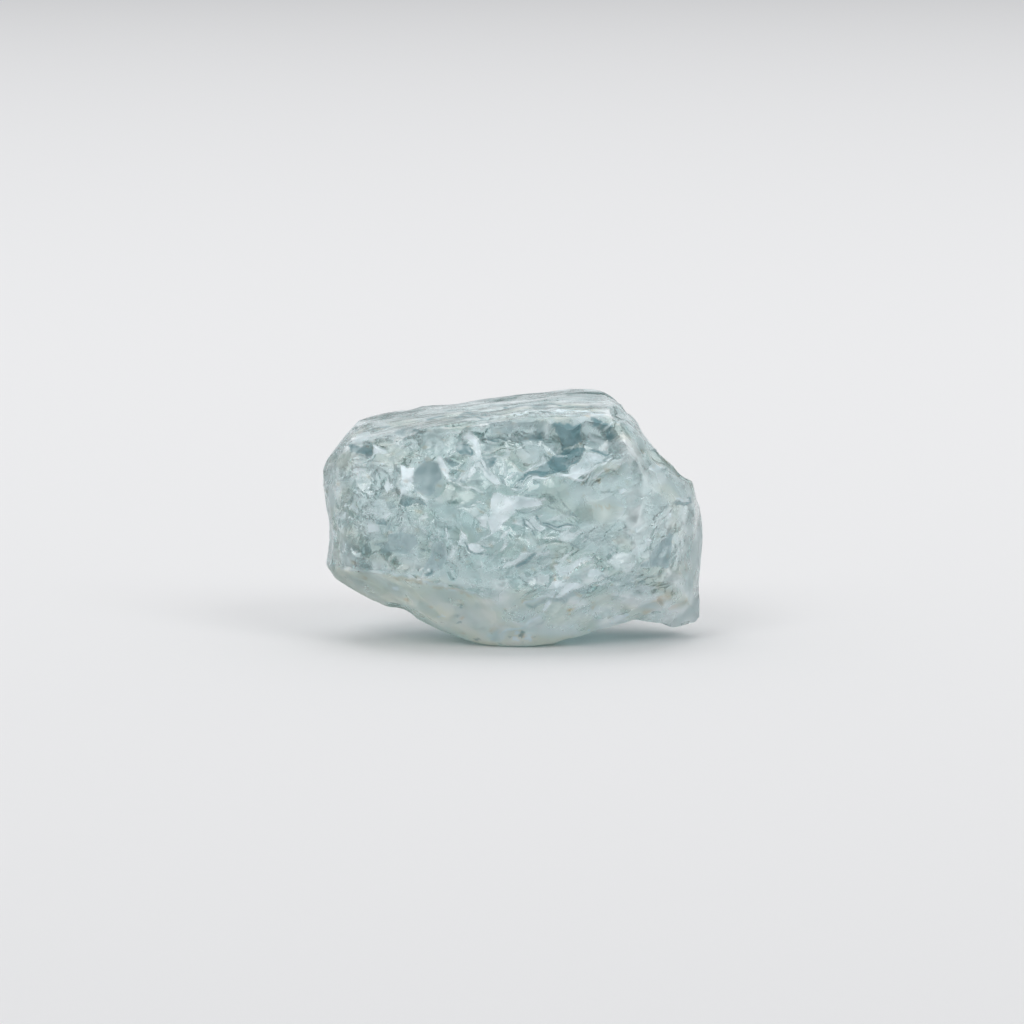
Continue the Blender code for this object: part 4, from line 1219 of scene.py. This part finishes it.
# %% Helpers for nodes
def link_or_set(tree, value, socket):
    """Joins a socket to a socket, or sets a number or a colour on it."""
    if isinstance(value, bpy.types.NodeSocket):
        tree.links.new(value, socket)
    elif isinstance(value, tuple):
        socket.default_value = (*value, 1.0)
    else:
        socket.default_value = value


def math_node(tree, operation, first, second, clamp=False):
    """`first` and `second` joined by the operation, and cut off at 0 and 1 where it is clamped."""
    node = tree.nodes.new("ShaderNodeMath")
    node.operation = operation
    node.use_clamp = clamp
    link_or_set(tree, first, node.inputs[0])
    link_or_set(tree, second, node.inputs[1])
    return node.outputs[0]


def attribute_node(tree, name):
    """The value that an attribute of the mesh has at each place."""
    node = tree.nodes.new("ShaderNodeAttribute")
    node.attribute_name = name
    return node.outputs["Fac"]


def grain_node(tree, scale, low, high):
    """Noise with cells of about 1 / `scale` metres: its values between 0.35 and 0.65, where most of them lie,
    are stretched to run from `low` to `high`."""
    noise = tree.nodes.new("ShaderNodeTexNoise")
    noise.inputs["Scale"].default_value = scale
    noise.inputs["Detail"].default_value = 4.0
    place = tree.nodes.new("ShaderNodeTexCoord")
    tree.links.new(place.outputs["Object"], noise.inputs["Vector"])
    spread = tree.nodes.new("ShaderNodeMapRange")
    for name, value in (("From Min", 0.35), ("From Max", 0.65), ("To Min", low), ("To Max", high)):
        spread.inputs[name].default_value = value
    tree.links.new(noise.outputs["Fac"], spread.inputs["Value"])
    return spread.outputs[0]


def mix_node(tree, share, first, second):
    """`first` times (1 - share) plus `second` times the share."""
    node = tree.nodes.new("ShaderNodeMix")
    node.data_type = "RGBA"
    link_or_set(tree, share, node.inputs[0])
    link_or_set(tree, first, node.inputs[6])
    link_or_set(tree, second, node.inputs[7])
    return node.outputs[2]


print("helpers for nodes:", [made.__name__ for made in (math_node, attribute_node, grain_node, mix_node)])


# %% The material
def make_beryl():
    """Refraction at the skin and absorption inside. Roughness is the frost times a grain, transmission is
    1 - milk times a finer grain, and each tint is mixed over the ones before it by its attribute. Two of the
    tints are painted light: a painted highlight, and a painted shade that also carries the bluish tone."""
    material = bpy.data.materials.new("aquamarine")
    material.use_nodes = True
    tree = material.node_tree
    shader = tree.nodes["Principled BSDF"]
    shader.inputs["IOR"].default_value = BERYL_INDEX
    frosted = math_node(tree, "MULTIPLY", attribute_node(tree, "frost"), grain_node(tree, *FROST_GRAIN))
    tree.links.new(frosted, shader.inputs["Roughness"])
    milky = math_node(tree, "MULTIPLY", attribute_node(tree, "milk"), grain_node(tree, *MILK_GRAIN))
    tree.links.new(math_node(tree, "SUBTRACT", 1.0, milky, True), shader.inputs["Transmission Weight"])
    colour = SKIN_TINT
    # Warm and rust are the stone's own colours; the highlight and shade tints are painted light.
    for name, tint in (("warm", WARM_TINT), ("highlight_paint", HIGHLIGHT_TINT), ("painted_shade_and_blue", SHADE_TINT), ("rust", RUST_TINT)):
        colour = mix_node(tree, attribute_node(tree, name), colour, tint)
    tree.links.new(colour, shader.inputs["Base Color"])
    depth = tree.nodes.new("ShaderNodeVolumeAbsorption")
    depth.inputs["Color"].default_value = (*DEPTH_COLOUR, 1.0)
    depth.inputs["Density"].default_value = DEPTH_DENSITY
    tree.links.new(depth.outputs[0], tree.nodes["Material Output"].inputs["Volume"])
    return material


mesh.materials.clear()
mesh.materials.append(make_beryl())
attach(stone, "root")
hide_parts("crystal")
print("material:", mesh.materials[0].name)

# %% [markdown]
# ## The stage
#
# A clear stone shows its surroundings more than itself. A pale floor and a pale, even sky make the clear
# parts bright, one soft light overhead gives the stone a shadow to stand on, and a dark card out of sight
# in front gives the faces of the break something dark to reflect, as a black card does in a studio.

# %% Floor
def flat_material(name, colour):
    """A matt material of one colour, without any gloss."""
    material = bpy.data.materials.new(name)
    material.use_nodes = True
    shader = material.node_tree.nodes["Principled BSDF"]
    shader.inputs["Base Color"].default_value = (*colour, 1.0)
    shader.inputs["Roughness"].default_value = 0.9
    shader.inputs["Specular IOR Level"].default_value = 0.0
    return material


def stage_piece(name, corners, colour):
    """A single flat face through the corners, with a matt material of the given colour."""
    sheet = bpy.data.meshes.new(name)
    sheet.from_pydata(corners, [], [list(range(len(corners)))])
    sheet.materials.append(flat_material(name, colour))
    piece = bpy.data.objects.new(name, sheet)
    bpy.context.scene.collection.objects.link(piece)
    return piece


FLOOR_RADIUS, FLOOR_SIDES = 3.0, 128
FLOOR_COLOUR = (0.80, 0.80, 0.805)
turns = [2 * math.pi * k / FLOOR_SIDES for k in range(FLOOR_SIDES)]
stage_piece("floor", [(FLOOR_RADIUS * math.cos(a), FLOOR_RADIUS * math.sin(a), 0) for a in turns], FLOOR_COLOUR)
print("floor:", 2 * FLOOR_RADIUS, "m across")

# %% Sky, lights and dark card
STONE_MIDDLE = (0, 0, 0.005)
SKY_COLOUR = (0.64, 0.645, 0.655, 1.0)
CARD_COLOUR = (0.06, 0.06, 0.06)
CARD_HALF_WIDTH, CARD_HALF_HEIGHT = 0.24, 0.15


def aim(thing, place, target):
    """Puts a thing at `place` and turns its -Z axis, which is what light and lenses look along, to `target`."""
    thing.location = place
    thing.rotation_euler = (Vector(target) - Vector(place)).to_track_quat("-Z", "Y").to_euler()


def area_light(name, place, side, power):
    """A square light of so many metres a side and so many watts, aimed at the stone."""
    light = bpy.data.lights.new(name, "AREA")
    light.size, light.energy = side, power
    lamp = bpy.data.objects.new(name, light)
    bpy.context.scene.collection.objects.link(lamp)
    aim(lamp, place, STONE_MIDDLE)


sky = bpy.data.worlds.new("sky")
sky.use_nodes = True
sky.node_tree.nodes["Background"].inputs["Color"].default_value = SKY_COLOUR
bpy.context.scene.world = sky
area_light("overhead", (-0.1, 0.2, 1.6), 1.2, 6.2)
area_light("left key", (-0.50, -0.78, 0.76), 0.5, 3.4)
area_light("right key", (0.66, -0.72, 0.70), 0.5, 3.0)
card = stage_piece("card", [(side * CARD_HALF_WIDTH, up * CARD_HALF_HEIGHT, 0)
                            for side, up in ((-1, -1), (1, -1), (1, 1), (-1, 1))], CARD_COLOUR)
aim(card, (0, -0.30, 0.06), STONE_MIDDLE)
card.visible_camera = False

# %% [markdown]
# ## Camera
#
# A long lens looks straight at the leaning front, along that front's own normal, so that the front's forms
# keep their proportions. The stone fills the middle of the frame, with plenty of pale ground round it.

# %% Camera
PIXEL = 0.04 * MM                   # what one of the frame's pixels covers at the stone
FRAME_WIDTH = 1024 * PIXEL
ABOVE_MIDDLE, LEFT_OF_MIDDLE = 6 * PIXEL, 1 * PIXEL    # from the stone's middle to what the lens looks at
LENS, SENSOR = 150, 36
middle = Vector((0, BACK_SHIFT * MM, REST_DROP * MM))
target = middle + Vector(AXIS_V) * ABOVE_MIDDLE - Vector(AXIS_X) * LEFT_OF_MIDDLE
lens = bpy.data.cameras.new("camera")
lens.lens, lens.sensor_width = LENS, SENSOR
lens.clip_start, lens.clip_end = 0.001, 10
camera = bpy.data.objects.new("camera", lens)
bpy.context.scene.collection.objects.link(camera)
camera.location = target - Vector(AXIS_W) * (FRAME_WIDTH * LENS / SENSOR)
camera.rotation_euler = (math.pi / 2 - LEAN, 0, 0)
bpy.context.scene.camera = camera
bpy.context.scene.view_settings.view_transform = "Standard"
print("camera stands", round(FRAME_WIDTH * LENS / SENSOR, 3), "m from the stone")
